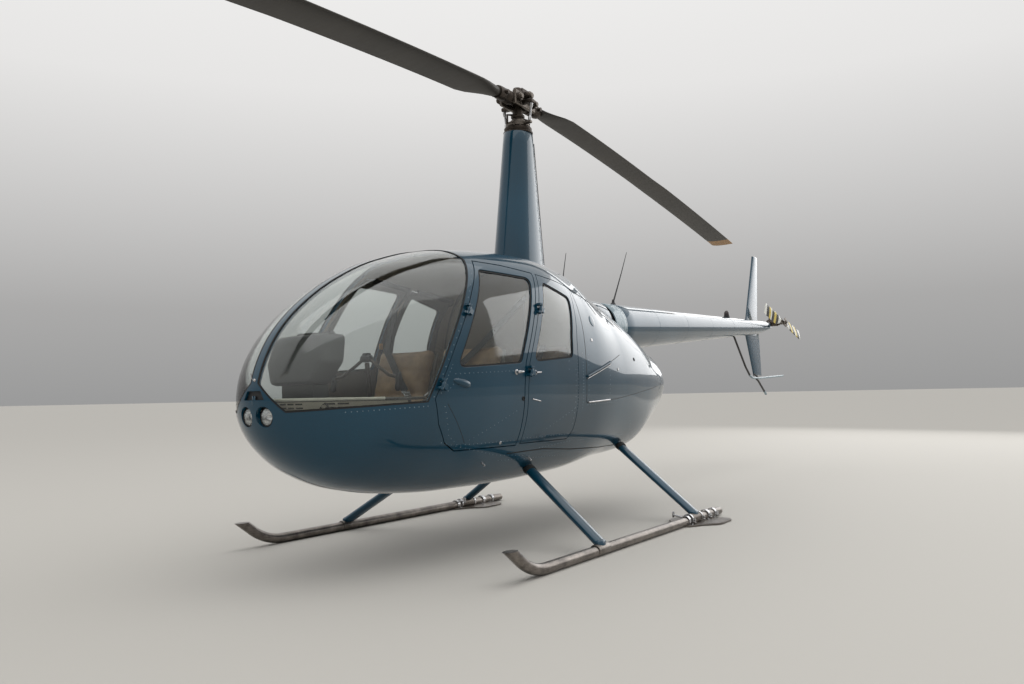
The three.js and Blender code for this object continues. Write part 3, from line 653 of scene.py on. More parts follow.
def dense(outline, step=0.014, closed=True):
    """An outline with a point at least every step."""
    out = []
    ends = outline[1:] + outline[:1] if closed else outline[1:]
    for a, b in zip(outline, ends):
        a, b = Vector(a), Vector(b)
        count = max(1, math.ceil((b - a).length / step))
        out += [tuple(a.lerp(b, k / count)) for k in range(count)]
    if not closed:
        out.append(tuple(outline[-1]))
    return out


FRONT_GLASS, REAR_GLASS = eased(FRONT_WINDOW, 0.045), eased(REAR_WINDOW, 0.045)
FRONT_SEAL, REAR_SEAL = grown(FRONT_GLASS, -0.011), grown(REAR_GLASS, -0.011)
FRONT_HOLE, REAR_HOLE = grown(FRONT_DOOR, DOOR_GAP), grown(REAR_DOOR, DOOR_GAP)
LIPS = [(grown(FRONT_HOLE, 0.012), grown(FRONT_DOOR, -0.014), 1.12),
        (grown(REAR_HOLE, 0.012), grown(REAR_DOOR, -0.014), 0.58)]
SCREEN_SEAL = grown(SCREEN, -0.010)
NOSE_VEE_WIDE = grown(NOSE_VEE, 0.008)


def nose_x(y, z):
    """How far forward the nose's skin is at a place seen from the front."""
    low, high = 1.2, NOSE_END
    for _ in range(28):
        x = (low + high) / 2
        if level(np.array([[x, max(abs(y), 1e-4), z]]))[0] > 0:
            high = x
        else:
            low = x
    return low


def flat_map(x, angle):
    """The skin rolled out flat."""
    return np.stack([HALF_LENGTH * along(x), GIRTH * angle], -1)


def outline_lines():
    """Every outline on the skin rolled out flat, as (points, whether it closes)."""
    lines = []

    def side_line(outline, closed=True):
        points = np.array(dense(outline, closed=closed))
        x = np.clip(points[:, 0], MIDDLE - HALF_LENGTH + 1e-4, MIDDLE + HALF_LENGTH - 1e-4)
        lines.append((flat_map(x, angle_of(x, points[:, 1])), closed))

    for outline in (FRONT_DOOR, REAR_DOOR, FRONT_GLASS, REAR_GLASS, FRONT_SEAL, REAR_SEAL,
                    FRONT_HOLE, REAR_HOLE, *LOUVRES, *[line for lip in LIPS for line in lip[:2]]):
        side_line(outline)
    edge = [p for p in SCREEN if p[0] < 2.9 and p[1] < 2.4]
    side_line([(1.252, 1.93)] + SCREEN[-3:] + edge[:4] + [(2.455, 0.884)], False)
    inner = [p for p in SCREEN_SEAL if p[0] < 2.9 and p[1] < 2.4]
    side_line([(1.262, 1.93)] + inner[-3:] + inner[:4] + [(2.455, 0.895)], False)
    side_line(LOW_SPLIT[:4] + [(2.455, 0.935)], False)
    side_line(ROOF_SEAM + [(-0.760, 1.8)], False)
    side_line(SIDE_SEAM[:-1] + [(-2.005, 1.0725)], False)
    side_line([(FRONT_WALL, 0.30), (FRONT_WALL, 2.0)], False)
    for half in (POST_HALF, POST_HALF + SEAL_WIDTH):
        x = np.linspace(1.245, 2.452, 90)
        _, _, widths, _, powers, _ = form(x)
        angle = np.arccos(np.clip(half / np.maximum(widths, 1e-4), 0, 1) ** (powers / 2))
        lines.append((flat_map(x, angle), False))
    for outline, closed in ((NOSE_VEE[3:6], False), (NOSE_VEE_WIDE[3:6], False), (VENT[1:3], False),
                            ([(0.0, 1.0), (0.05, 1.0)], False), ([(0.076, 0.954), (0.0, 0.954)], False),
                            (LAMP_HOLE, True)):
        x, z = np.array([(nose_x(y, z), z) for y, z in dense(outline, 0.01, closed)]).T
        lines.append((flat_map(x, angle_of(x, z)), closed))
    return lines


def sheet_of_triangles():
    """The left half of the skin as triangles whose edges follow every outline."""
    step = 0.021
    reach = HALF_LENGTH * math.pi / 2 - 1e-4
    top = GIRTH * math.pi / 2
    columns, rows = int(2 * reach / step), int(2 * top / step)
    points, edges = [], []
    for line, closed in outline_lines():
        first = len(points)
        points += [(s, min(max(t, -top), top)) for s, t in line]
        last = len(points)
        edges += [(i, i + 1) for i in range(first, last - 1)]
        if closed:
            edges.append((last - 1, first))
    near = KDTree(len(points))
    for i, p in enumerate(points):
        near.insert((p[0], p[1], 0), i)
    near.balance()
    for i in range(columns + 1):
        for j in range(rows + 1):
            s = -reach + 2 * reach * i / columns
            t = -top + 2 * top * j / rows
            border = i in (0, columns) or j in (0, rows)
            if border or near.find((s, t, 0))[2] > step * 0.42:
                points.append((s, t))
    flat, _, triangles, *_ = delaunay_2d_cdt([Vector(p) for p in points], edges, [], 0, 1e-7, False)
    flat = np.array([tuple(p) for p in flat])
    x = MIDDLE + HALF_LENGTH * np.sin(flat[:, 0] / HALF_LENGTH)
    spots = on_section(x, flat[:, 1] / GIRTH)
    spots[np.abs(np.abs(flat[:, 1]) - top) < 1e-6, 1] = 0
    return spots, np.array([tri for tri in triangles if len(tri) == 3])


SPOTS, TRIANGLES = sheet_of_triangles()
CENTRES = SPOTS[TRIANGLES].mean(1)
CX, CY, CZ = CENTRES.T
in_front_hole, in_rear_hole = inside(FRONT_HOLE, CX, CZ), inside(REAR_HOLE, CX, CZ)
in_doors = in_front_hole | in_rear_hole
NOSE_FROM = 2.15
in_vee = (CX > NOSE_FROM) & inside(NOSE_VEE, CY, CZ)
in_vee_wide = (CX > NOSE_FROM) & inside(NOSE_VEE_WIDE, CY, CZ)
in_vent = (CX > NOSE_FROM) & inside(VENT, CY, CZ)
in_lamp = (CX > NOSE_FROM) & ((CY - LAMP_Y) ** 2 + (CZ - LAMP_Z) ** 2 < LAMP_R ** 2)
in_screen = inside(SCREEN, CX, CZ) & (CY > POST_HALF) & ~in_vee
in_screen_glass = inside(SCREEN_SEAL, CX, CZ) & (CY > POST_HALF + 0.010) & ~in_vee_wide
cabin = CX > FRONT_WALL
in_low = inside(LOW_SPLIT, CX, CZ)
in_front_glass, in_rear_glass = inside(FRONT_GLASS, CX, CZ), inside(REAR_GLASS, CX, CZ)
in_louvre = np.any([inside(outline, CX, CZ) for outline in LOUVRES], 0) & (CX < -1.2)
in_lips = np.any([inside(outer, CX, CZ) & ~inside(inner, CX, CZ) & (CX < end) & (CZ > 1.655)
                  for outer, inner, end in LIPS], 0)
REGIONS = {
    "door_lips": in_lips & (CX > 0.19),
    "lip_roots": in_lips & ~in_doors & (CX > 0.19),
    "hull": cabin & (in_low | in_vee) & ~in_doors & ~in_vent & ~in_lamp & ~in_screen,
    "vent": in_vent,
    "roof": cabin & ~in_low & ~in_vee & ~in_doors & ~in_screen,
    "screen": in_screen,
    "screen_seal": in_screen & ~in_screen_glass,
    "front_door": inside(FRONT_DOOR, CX, CZ) & ~in_front_glass,
    "rear_door": inside(REAR_DOOR, CX, CZ) & ~in_rear_glass,
    "front_window": in_front_glass,
    "rear_window": in_rear_glass,
    "front_seal": in_front_glass & ~inside(FRONT_SEAL, CX, CZ),
    "rear_seal": in_rear_glass & ~inside(REAR_SEAL, CX, CZ),
    "roof_cowl": ~cabin & inside(ROOF_REGION, CX, CZ),
    "belly": ~cabin & inside(BELLY_REGION, CX, CZ),
    "cowl": ~cabin & ~inside(ROOF_REGION, CX, CZ) & ~inside(BELLY_REGION, CX, CZ) & ~in_louvre,
    "louvres": ~cabin & in_louvre,
}


def skin_piece(region, sides):
    """A region's triangles as (points, outward vectors, faces, rim edges in order)."""
    work = bmesh.new()
    for side in {"left": (1,), "right": (-1,), "both": (1, -1)}[sides]:
        used = {}
        for tri in TRIANGLES[REGIONS[region]]:
            corners = []
            for i in tri:
                if i not in used:
                    p = SPOTS[i]
                    used[i] = work.verts.new((p[0], p[1] * side, p[2]))
                corners.append(used[i])
            work.faces.new(corners if side > 0 else corners[::-1])
    bmesh.ops.remove_doubles(work, verts=work.verts, dist=2e-6)
    bmesh.ops.dissolve_degenerate(work, edges=work.edges, dist=1e-6)
    work.verts.index_update()
    points = np.array([v.co for v in work.verts])
    normals = outward(points)
    faces = [[v.index for v in f.verts] for f in work.faces]
    rim = [[(loop.vert.index, loop.link_loop_next.vert.index) for loop in e.link_loops][0]
           for e in work.edges if len(e.link_faces) == 1]
    work.free()
    a, b, c = points[faces[0][:3]]
    if np.cross(b - a, c - a) @ normals[faces[0][0]] < 0:
        faces = [f[::-1] for f in faces]
        rim = [(j, i) for i, j in rim]
    return points, normals, faces, rim


def chamfered(mesh, ends, width):
    """A panel's mesh with the given edges chamfered."""
    weight = mesh.attributes.new("bevel_weight_edge", "FLOAT", "EDGE")
    weight.data.foreach_set("value", [float(tuple(sorted(e.vertices)) in ends) for e in mesh.edges])
    thing = linked(mesh.name, mesh)
    chamfer = thing.modifiers.new("chamfer", "BEVEL")
    chamfer.limit_method = "WEIGHT"
    chamfer.width = width
    chamfer.segments = 1
    cut = applied(thing)
    bpy.data.objects.remove(thing)
    return cut


def panel(name, region, body, finishes, nodes=(), depth=0.0, thick=SKIN, sides="left",
          edge=0.0014):
    """A curved panel cut from the skin, as thick as the real one, with chamfered edges.

    finishes are the outer and the inner one; depth is how far its face lies under the skin.
    """
    points, normals, faces, rim = skin_piece(region, sides)
    count = len(points)
    outer, inner = points - normals * depth, points - normals * (depth + thick)
    back = [[i + count for i in f[::-1]] for f in faces]
    around = [[j, i, i + count, j + count] for i, j in rim]
    mesh = bpy.data.meshes.new(name)
    mesh.from_pydata(np.concatenate([outer, inner]).tolist(), [], faces + back + around)
    for material in finishes:
        mesh.materials.append(material)
    inside_number = len(finishes) - 1
    numbers = [0] * len(faces) + [inside_number] * len(faces) + [0] * len(rim)
    mesh.polygons.foreach_set("material_index", numbers)
    if edge:
        ends = {tuple(sorted(pair)) for i, j in rim for pair in ((i, j), (i + count, j + count))}
        mesh = chamfered(mesh, ends, edge)
        mesh.name = name
    true_normals(mesh)
    mesh.transform(Matrix.Translation((MAST_X, 0, 0)))
    return settle(mesh, name, body, nodes)


def true_normals(mesh):
    """Shades a panel by the skin's own curve, and its rim by its faces."""
    mesh.polygons.foreach_set("use_smooth", [True] * len(mesh.polygons))
    skin = outward(vertex_places(mesh))
    flat = np.zeros(len(mesh.polygons) * 3)
    mesh.polygons.foreach_get("normal", flat)
    flat = flat.reshape(-1, 3)
    out = np.zeros((len(mesh.loops), 3))
    for polygon in mesh.polygons:
        own = flat[polygon.index]
        for loop, vertex in zip(polygon.loop_indices, polygon.vertices):
            lean = own @ skin[vertex]
            out[loop] = own if abs(lean) < 0.93 else skin[vertex] * np.sign(lean)
    mesh.normals_split_custom_set([tuple(n) for n in out])


def build_panels():
    """Every panel of the cabin and the body behind it, with its glass and seals."""
    panel("hull_panel", "hull", "airframe", [PAINT, TRIM], ["hull"], sides="both")
    panel("roof_panel", "roof", "airframe", [PAINT, LINING], ["roof_frame"], sides="both")
    panel("roof_cowl_panel", "roof_cowl", "airframe", [PAINT, TRIM], ["roof_cowl"], sides="both")
    panel("belly_panel", "belly", "airframe", [PAINT, TRIM], ["belly_cowl"], sides="both")
    panel("nose_vent_panel", "vent", "airframe", [BLACK, BLACK], depth=0.014, thick=0.006,
          sides="both", edge=0)
    # sealing strips behind the upper edges of the doors, clear of them
    panel("door_seal_strips", "door_lips", "airframe", [RUBBER], depth=0.0345, thick=0.003,
          sides="both", edge=0)
    panel("door_seal_roots", "lip_roots", "airframe", [RUBBER], depth=0.0275, thick=0.0095,
          sides="both", edge=0)
    for side in ("left", "right"):
        panel(f"engine_cowl_panel_{side}", "cowl", "airframe", [PAINT, TRIM],
              [f"engine_cowl_{side}"], sides=side)
        # a black sheet just under the louvre slots: painted shade for the dark engine bay behind them
        panel(f"louvre_shade_sheet_{side}", "louvres", "airframe", [BLACK, BLACK],
              depth=0.016, thick=0.006, sides=side, edge=0)
        panel(f"windshield_sheet_{side}", "screen", "airframe", [ACRYLIC],
              [f"windshield_{side}"], depth=0.004, thick=0.005, sides=side, edge=0.0006)
        panel(f"windshield_seal_{side}", "screen_seal", "airframe", [RUBBER],
              depth=0.0005, thick=0.0034, sides=side, edge=0.0006)
        for which in ("front", "rear"):
            body = f"{which}_{side}_door"
            panel(f"{which}_door_panel_{side}", f"{which}_door", body, [PAINT, TRIM],
                  [f"door_{which}_{side}"], sides=side)
            panel(f"{which}_window_sheet_{side}", f"{which}_window", body, [ACRYLIC],
                  [f"window_{which}_{side}"], depth=PANE_DEPTH, thick=0.004, sides=side, edge=0.0006)
            panel(f"{which}_window_seal_{side}", f"{which}_seal", body, [RUBBER],
                  depth=0.005, thick=0.0038, sides=side, edge=0.0008)


build_panels()


# Mast and its fairing
ROTOR_TURN = math.radians(3.95)
FAIRING_FOOT, FAIRING_TOP, FAIRING_SIDES = 1.70, 2.92, 72
ROOF_Z = 1.93


def fairing_ring(z, grow=0.0):
    """The streamlined outline of the mast fairing at a height, round at the front, thin behind."""
    t = (z - FAIRING_FOOT) / (FAIRING_TOP - FAIRING_FOOT)
    middle, half, wide = -0.015 - 0.005 * t, 0.325 - 0.18 * t, 0.15 - 0.05 * t
    ring = []
    for j in range(FAIRING_SIDES):
        c, s = math.cos(math.tau * j / FAIRING_SIDES), math.sin(math.tau * j / FAIRING_SIDES)
        y = s * (wide + grow) * (1 + 0.22 * c - 0.08 * c * c)
        ring.append(Vector((middle + c * (half + grow), y, z)))
    return ring


def roof_height(x, y):
    """Height of the roof's skin above a point."""
    top, _, half, widest, upper, _ = form(x)
    return widest + (top - widest) * max(0.0, 1 - (abs(y) / half) ** upper) ** (1 / upper)


def fairing_top(p):
    """The fairing's upper edge: level, with a lower part at the rear."""
    drop = min(max((-0.070 - p.x) / 0.06, 0), 1)
    return FAIRING_TOP - 0.052 * drop * drop * (3 - 2 * drop)


def mast_fairing():
    """The tall painted fairing with its lid."""
    shape = Shape()
    rings = []
    foot = [Vector((p.x, p.y, roof_height(p.x, p.y) - 0.004)) for p in fairing_ring(ROOF_Z)]
    steps = 12
    for k in range(steps + 1):
        t = k / steps
        ring = fairing_ring(ROOF_Z + (FAIRING_TOP - ROOF_Z) * t)
        rings.append([Vector((p.x, p.y, q.z + (fairing_top(p) - q.z) * t)) for p, q in zip(ring, foot)])
    middle = Vector((-0.02, 0, 0))
    shrunk = [[middle + (p - middle) * s for p in rings[-1]] for s in (0.985, 0.93)]
    for ring, drop in zip(shrunk, (0.0, 0.010)):
        rings.append([Vector((p.x, p.y, q.z - drop)) for p, q in zip(ring, rings[steps])])
    rings[steps] = [p - Vector((0, 0, 0.004)) for p in rings[steps]]
    shape.put(rings_joined(rings))
    shape.piece("mast_fairing_skin", "airframe", [PAINT], "paint", ["mast_fairing"], sharp=50)


def mast_fairing_seal():
    """The sealing lip on the roof and the joint of the fairing's rear strip."""
    lip = Shape()
    outer = [Vector((p.x, p.y, roof_height(p.x, p.y))) for p in fairing_ring(ROOF_Z, 0.010)]
    upper = [Vector((p.x, p.y, roof_height(p.x, p.y) + 0.012)) for p in fairing_ring(1.94, 0.003)]
    buried = [p - Vector((0, 0, 0.012)) for p in outer]
    lip.put(rings_joined([buried, outer, upper, [p - Vector((0, 0, 0.02)) for p in upper]]))
    low, high = 1.935, 2.858
    for side in (1, -1):
        seam = []
        for k in range(25):
            z = low + (high - low) * k / 24
            p = fairing_ring(z, 0.0005)[24]
            seam.append(Vector((p.x, p.y * side, z)))
        lip.put(tube(seam, 0.0022, 6))
    lip.piece("mast_fairing_seal", "airframe", [RUBBER], "lining")


def mast_cap():
    """Stacked steel discs over the fairing, bolted together, and the collar under them."""
    shape = Shape()
    shape.put(turned([(0.0445, 2.80), (0.082, 2.80), (0.082, 2.921), (0.110, 2.9215), (0.112, 2.924),
                      (0.112, 2.932), (0.109, 2.935), (0.096, 2.935), (0.096, 2.9375), (0.102, 2.939),
                      (0.104, 2.942), (0.104, 2.962), (0.101, 2.966), (0.0445, 2.967), (0.0445, 2.80)],
                     ORIGIN, UP, 64))
    bolts, circle = 12, 0.086
    for k in range(bolts):
        a = math.tau * (k + 0.5) / bolts
        shape.put(turned([(0, 2.9655), (0.0075, 2.9655), (0.0075, 2.971), (0.006, 2.973), (0, 2.973)],
                         (circle * math.cos(a), circle * math.sin(a), 0), UP, 6), 1)
    shape.piece("mast_cap_discs", "airframe", [DARK_STEEL, STEEL], "steel", ["mast_cap"])


def along_rotor(part, side=1):
    """A part drawn along +X, turned to the rotor's parked angle, or to the opposite blade."""
    return placed(part, Matrix.Rotation(ROTOR_TURN + (0 if side > 0 else math.pi), 4, "Z"))


def bolt_head(base, direction, radius):
    """A bolt's head on its washer."""
    tall = radius * 0.8
    profile = [(0, 0), (radius * 1.45, 0), (radius * 1.45, radius * 0.22), (radius, radius * 0.24),
               (radius, tall), (radius * 0.86, tall * 1.15), (0, tall * 1.15)]
    return turned(profile, base, direction, 12)


# Main rotor
ROTOR_R, ROOT_R = 5.03, 0.30


def droop(r, side):
    """Height of the parked blade's line at a distance from the mast."""
    return 3.176 + (4.3 - side * 8.5) * r / 1000 - 0.437 * (r / ROTOR_R) ** 1.37


def foil(chord, thick, count=14):
    """A blade's section, as (distance ahead of the quarter line, height)."""
    upper = []
    for i in range(count + 1):
        t = (1 - math.cos(math.pi * i / count)) / 2
        tall = thick * (1.4845 * math.sqrt(t) - 0.63 * t - 1.758 * t * t + 1.4215 * t ** 3 - 0.5075 * t ** 4)
        upper.append(((0.27 - t) * chord, 0 if i == 0 else max(tall, 0.0009)))
    return upper + [(a, -b) for a, b in upper[:0:-1]]


BLADE_TABLE = np.array([
    [300, 120, 70], [380, 165, 60], [480, 225, 48], [580, 254, 38], [900, 254, 33], [1500, 254, 31],
    [2300, 254, 31], [2650, 269, 31], [4500, 269, 31], [5030, 269, 28]]) / 1000
TIP_BAND = 4.80  # the tan paint starts here


def blade_ring(r, side, shrink=1.0):
    """The blade's outline at a distance from the mast."""
    chord = float(np.interp(r, BLADE_TABLE[:, 0], BLADE_TABLE[:, 1]))
    thick = float(np.interp(r, BLADE_TABLE[:, 0], BLADE_TABLE[:, 2]))
    pitch = math.radians(6.4 - 0.72 * r)
    c, s = math.cos(pitch), math.sin(pitch)
    section = foil(chord * (0.5 + 0.5 * shrink), thick * shrink)
    ring = [(a * (1 if a > 0 else shrink), b) for a, b in section]
    return [Vector((r, a * c - b * s, droop(r, side) + a * s + b * c)) for a, b in ring]


def main_blade(side, name, node):
    """A long drooping blade with its tan tip."""
    root_end = 0.3005
    radii = [root_end, 0.33, 0.36, 0.40, 0.44, 0.48, 0.53, 0.58, 0.64, 0.72, 0.80]
    radii += [0.9 + 0.13 * k for k in range(30)] + [TIP_BAND, 4.88, 4.94, 4.98, 5.005]
    dark = [blade_ring(r, side) for r in radii if r <= TIP_BAND]
    tan = [blade_ring(r, side) for r in radii if r >= TIP_BAND]
    tan += [blade_ring(r, side, shrink) for r, shrink in ((5.018, 0.97), (5.026, 0.88), (5.0295, 0.70))]
    root = blade_ring(root_end, side)
    shape = Shape()
    shape.put(along_rotor(rings_joined(dark, capped=False), side))
    shape.put(along_rotor(end_capped(tan), side), 1)
    shape.put(along_rotor((root, [list(range(len(root)))[::-1]]), side))
    shape.piece(name, "main_rotor", [BLADE, TIP], "blade_paint", [node], sharp=50)


def rotor_head():
    """The teetering head: two cheeks with big bolts, blade spindles and pitch horns."""
    shape = Shape()

    def put(part, number=0):
        shape.put(along_rotor(part), number)
    for sign in (1, -1):
        y0, y1 = sorted((sign * 0.046, sign * 0.072))
        put(block((-0.150, y0, 3.112), (0.150, y1, 3.222), 0.006))
        y = sign * 0.075
        put(block((-0.066, y - 0.006, 3.150), (0.066, y + 0.006, 3.250), 0.004), 1)
        for x, z, out, boss, bolt in ((0, 3.200, 0.112, 0.034, 0.022), (-0.112, 3.168, 0.094, 0.030, 0.019),
                                      (0.112, 3.168, 0.094, 0.030, 0.019)):
            put(tube([(x, sign * 0.05, z), (x, sign * out, z)], boss, 28), 1)
            put(bolt_head((x, sign * out, z), (0, sign, 0), bolt))
        for x in (-0.075, 0.075):
            for z in (3.128, 3.210):
                put(bolt_head((x, sign * 0.072, z), (0, sign, 0), 0.008))
    put(block((-0.066, -0.048, 3.142), (0.066, 0.048, 3.214), 0.006), 1)
    put(turned([(0, 3.205), (0.050, 3.205), (0.050, 3.216), (0.040, 3.222), (0.036, 3.262), (0.030, 3.276),
                (0.0, 3.280)], ORIGIN, UP, 28), 1)
    for side in (1, -1):
        a, b = Vector((side * 0.085, 0, 3.168)), Vector((side * 0.2995, 0, droop(ROOT_R, side)))
        long = (b - a).length
        put(turned([(0, 0), (0.040, 0), (0.044, 0.01), (0.044, 0.045), (0.052, 0.05), (0.052, 0.066),
                    (0.047, 0.07), (0.052, 0.078), (0.047, 0.086), (0.052, 0.094), (0.047, 0.102),
                    (0.052, 0.110), (0.047, 0.118), (0.050, 0.126), (0.050, 0.19), (0.046, long),
                    (0, long)], a, (b - a).normalized(), 28), 1)
        x0, x1 = sorted((side * 0.015, side * 0.060))
        y0, y1 = sorted((side * 0.055, side * 0.156))
        put(block((x0, y0, 3.131), (x1, y1, 3.160), 0.005), 1)
        x, z = side * 0.245, droop(0.245, side)
        put(tube([(x, -0.07, z), (x, 0.07, z)], 0.016, 16), 1)
    shape.piece("rotor_head", "main_rotor", [STEEL, DARK_STEEL], "steel", ["rotor_hub"])


def rotor_shaft():
    """The shaft with its bolted swashplate, pitch rods and scissor links."""
    shape = Shape()

    def put(part, number=0):
        shape.put(along_rotor(part), number)
    put(turned([(0, 2.702), (0.040, 2.702), (0.040, 2.975), (0.040, 3.100), (0.036, 3.102), (0.036, 3.140),
                (0, 3.140)], ORIGIN, UP, 40), 1)
    put(turned([(0.041, 2.972), (0.088, 2.972), (0.092, 2.976), (0.092, 2.986), (0.089, 2.987),
                (0.089, 2.990), (0.092, 2.991), (0.092, 3.000), (0.088, 3.003), (0.060, 3.003),
                (0.056, 3.024), (0.041, 3.026), (0.041, 2.972)], ORIGIN, UP, 48))
    bolts, circle = 8, 0.074
    for k in range(bolts):
        a = math.tau * k / bolts
        put(bolt_head((circle * math.cos(a), circle * math.sin(a), 3.003), UP, 0.005), 2)
    put(turned([(0.0405, 3.045), (0.050, 3.045), (0.052, 3.048), (0.052, 3.062), (0.050, 3.065),
                (0.0405, 3.065), (0.0405, 3.045)], ORIGIN, UP, 32), 1)
    for sign in (1, -1):
        x0, x1 = sorted((sign * 0.022, sign * 0.054))
        y0, y1 = sorted((sign * 0.06, sign * 0.138))
        put(block((x0, y0, 2.979), (x1, y1, 2.999), 0.004))
        a, b = Vector((sign * 0.038, sign * 0.122, 2.998)), Vector((sign * 0.038, sign * 0.140, 3.128))
        put(tube([a, b], 0.008, 14), 2)
        for end, way in ((a, b - a), (b, a - b)):
            put(turned([(0, 0), (0.013, 0), (0.013, 0.028), (0.009, 0.034), (0, 0.034)], end, way, 16), 2)
        put(tube([(sign * -0.075, sign * 0.05, 2.995), (sign * -0.105, sign * 0.03, 3.050),
                  (sign * -0.050, 0, 3.056)], 0.009, 10), 1)
    shape.piece("rotor_shaft_and_swashplate", "main_rotor", [STEEL, DARK_STEEL, BRIGHT], "steel",
                ["rotor_shaft"])


def build_rotor():
    """The mast with its fairing, the rotor's head and its two blades."""
    mast_fairing()
    mast_fairing_seal()
    mast_cap()
    rotor_head()
    rotor_shaft()
    main_blade(1, "main_blade_front_skin", "main_blade_front")
    main_blade(-1, "main_blade_rear_skin", "main_blade_rear")


build_rotor()


# Tail
BOOM_FRONT, BOOM_REAR = -1.12, -5.73
BOOM_LONG, BOOM_SIDES = 4.22, 56
COLLAR_END = -1.340
BOOM_JOINTS = (-2.05, -2.78, -3.50, -4.22, -4.90)


def boom_height(x):
    """Height of the boom's middle line, which rises to the rear."""
    return 1.540 + (x + 1.5) * 0.231 / -BOOM_LONG


def boom_radius(x):
    """The boom's radius, which shrinks to the rear."""
    return 0.203 + (x + 1.5) * 0.129 / BOOM_LONG


def boom_ring(x, grow=0.0):
    """The boom's outline, with the underside slanting up at the rear end."""
    ring = []
    floor = 1.662 + (x + 5.29) * 0.105 / -0.44 if x < -5.29 else 0.0
    for j in range(BOOM_SIDES):
        a = math.tau * j / BOOM_SIDES
        r = boom_radius(x) + grow
        ring.append(Vector((x, r * math.cos(a), max(boom_height(x) + r * math.sin(a), floor - grow))))
    return ring


def tail_boom():
    """The tapered boom with its collar and its joints; the collar's pale grey-blue is painted sky reflection
    over teal paint.
    """
    shape = Shape()
    collar = [boom_ring(-1.150, -0.009), boom_ring(BOOM_FRONT, -0.009),
              boom_ring(BOOM_FRONT - 0.0005, -0.003), boom_ring(BOOM_FRONT - 0.003), boom_ring(-1.2),
              boom_ring(-1.27), boom_ring(-1.337),
              boom_ring(COLLAR_END, -0.002)]
    shape.put(rings_joined(collar, capped=False), 1)
    stations = [COLLAR_END, -1.344] + [-1.5 - 0.25 * k for k in range(16)]
    stations += [-5.30, -5.40, -5.52, -5.64, -5.725, BOOM_REAR]
    drawn_in = {COLLAR_END: -0.002, BOOM_REAR: -0.003}
    shape.put(end_capped([boom_ring(x, drawn_in.get(x, 0)) for x in stations]))
    for x in BOOM_JOINTS:
        shape.put(rings_joined([boom_ring(x + 0.0012, 0.0001), boom_ring(x + 0.0010, 0.0006),
                                boom_ring(x - 0.0240, 0.0006), boom_ring(x - 0.0242, 0.0001)], capped=False))
    shape.piece("tail_boom_skin", "airframe", [PAINT, PALE_PAINT_AND_SHEEN], "paint", ["tail_boom"], sharp=50)


def neck_ring(x, grow=0.0):
    """The outline of the cowl's neck ahead of the boom."""
    t = (x + 0.56) / -0.5
    middle, r = 1.525 + 0.008 * t, 0.215 - 0.007 * t + grow
    return [Vector((x, r * math.cos(math.tau * j / BOOM_SIDES),
                    middle + r * math.sin(math.tau * j / BOOM_SIDES)))
            for j in range(BOOM_SIDES)]


def boom_neck():
    """The cowl's neck, and the dark boot inside it that meets the boom."""
    neck = Shape()
    neck.put(rings_joined([neck_ring(-0.56), neck_ring(-0.75), neck_ring(-0.92), neck_ring(-1.050),
                           neck_ring(-1.058, -0.002), neck_ring(-1.060, -0.006), neck_ring(-1.052, -0.010),
                           neck_ring(-0.98, -0.010)], capped=False))
    neck.piece("roof_cowl_neck", "airframe", [PAINT], "paint", sharp=50)
    boot = Shape()
    boot.put(rings_joined([neck_ring(-1.0, -0.022), neck_ring(-1.16, -0.022)]))
    boot.piece("boom_joint_boot", "airframe", [RUBBER], "lining")


def tail_wing(root, tip, thick, place=None):
    """A flat tail surface between two chords of (lead, trail, height), with a rounded tip."""
    up = 1 if tip[2] > root[2] else -1
    rounding = ((1, 0), (0.96, 0.006), (0.86, 0.012), (0.62, 0.015))  # thickness left, and reach
    count = 12
    rings = []
    for k in range(count + len(rounding)):
        t = min(k / count, 1)
        trim, push = rounding[max(0, k - count)]
        lead, trail, z = (root[i] + (tip[i] - root[i]) * t for i in range(3))
        chord = lead - trail
        z = z + push * up - 0.015 * up * t
        ring = [Vector((trail + 0.73 * chord + a * (1 - 0.02 * (1 - trim)), b * trim, z))
                for a, b in foil(chord, thick, 12)]
        rings.append([place @ p for p in ring] if place else ring)
    return rings_joined(rings)


def tail_surfaces():
    """Upper and lower fin, and the stabilizer on the right."""
    laid_flat = Matrix.Translation((0, 0, 1.725)) @ Matrix.Rotation(math.pi / 2, 4, "X")
    for node, root, tip, thick, place in (
            ("fin_upper", (-4.905, -5.370, 1.74), (-5.270, -5.460, 2.65), 0.036, None),
            ("fin_lower", (-4.890, -5.420, 1.70), (-5.165, -5.475, 1.14), 0.036, None),
            ("stabilizer", (-4.700, -5.010, 0.03), (-4.735, -5.010, 0.79), 0.034, laid_flat)):
        shape = Shape()
        shape.put(tail_wing(root, tip, thick, place))
        shape.piece(f"{node}_skin", "airframe", [PAINT], "paint", [node], sharp=50)


TAIL_HUB = Vector((-5.890, 0.178, 1.838))
TAIL_TURN = math.radians(13)
TAIL_R = 0.737
TAIL_BLADE = np.array([  # distance from the hub, chord, thickness and pitch in degrees
    [0.1182, 0.062, 0.026, 14], [0.17, 0.09, 0.02, 14], [0.225, 0.13, 0.017, 14],
    [0.48, 0.13, 0.016, 11], [TAIL_R, 0.13, 0.015, 8]])


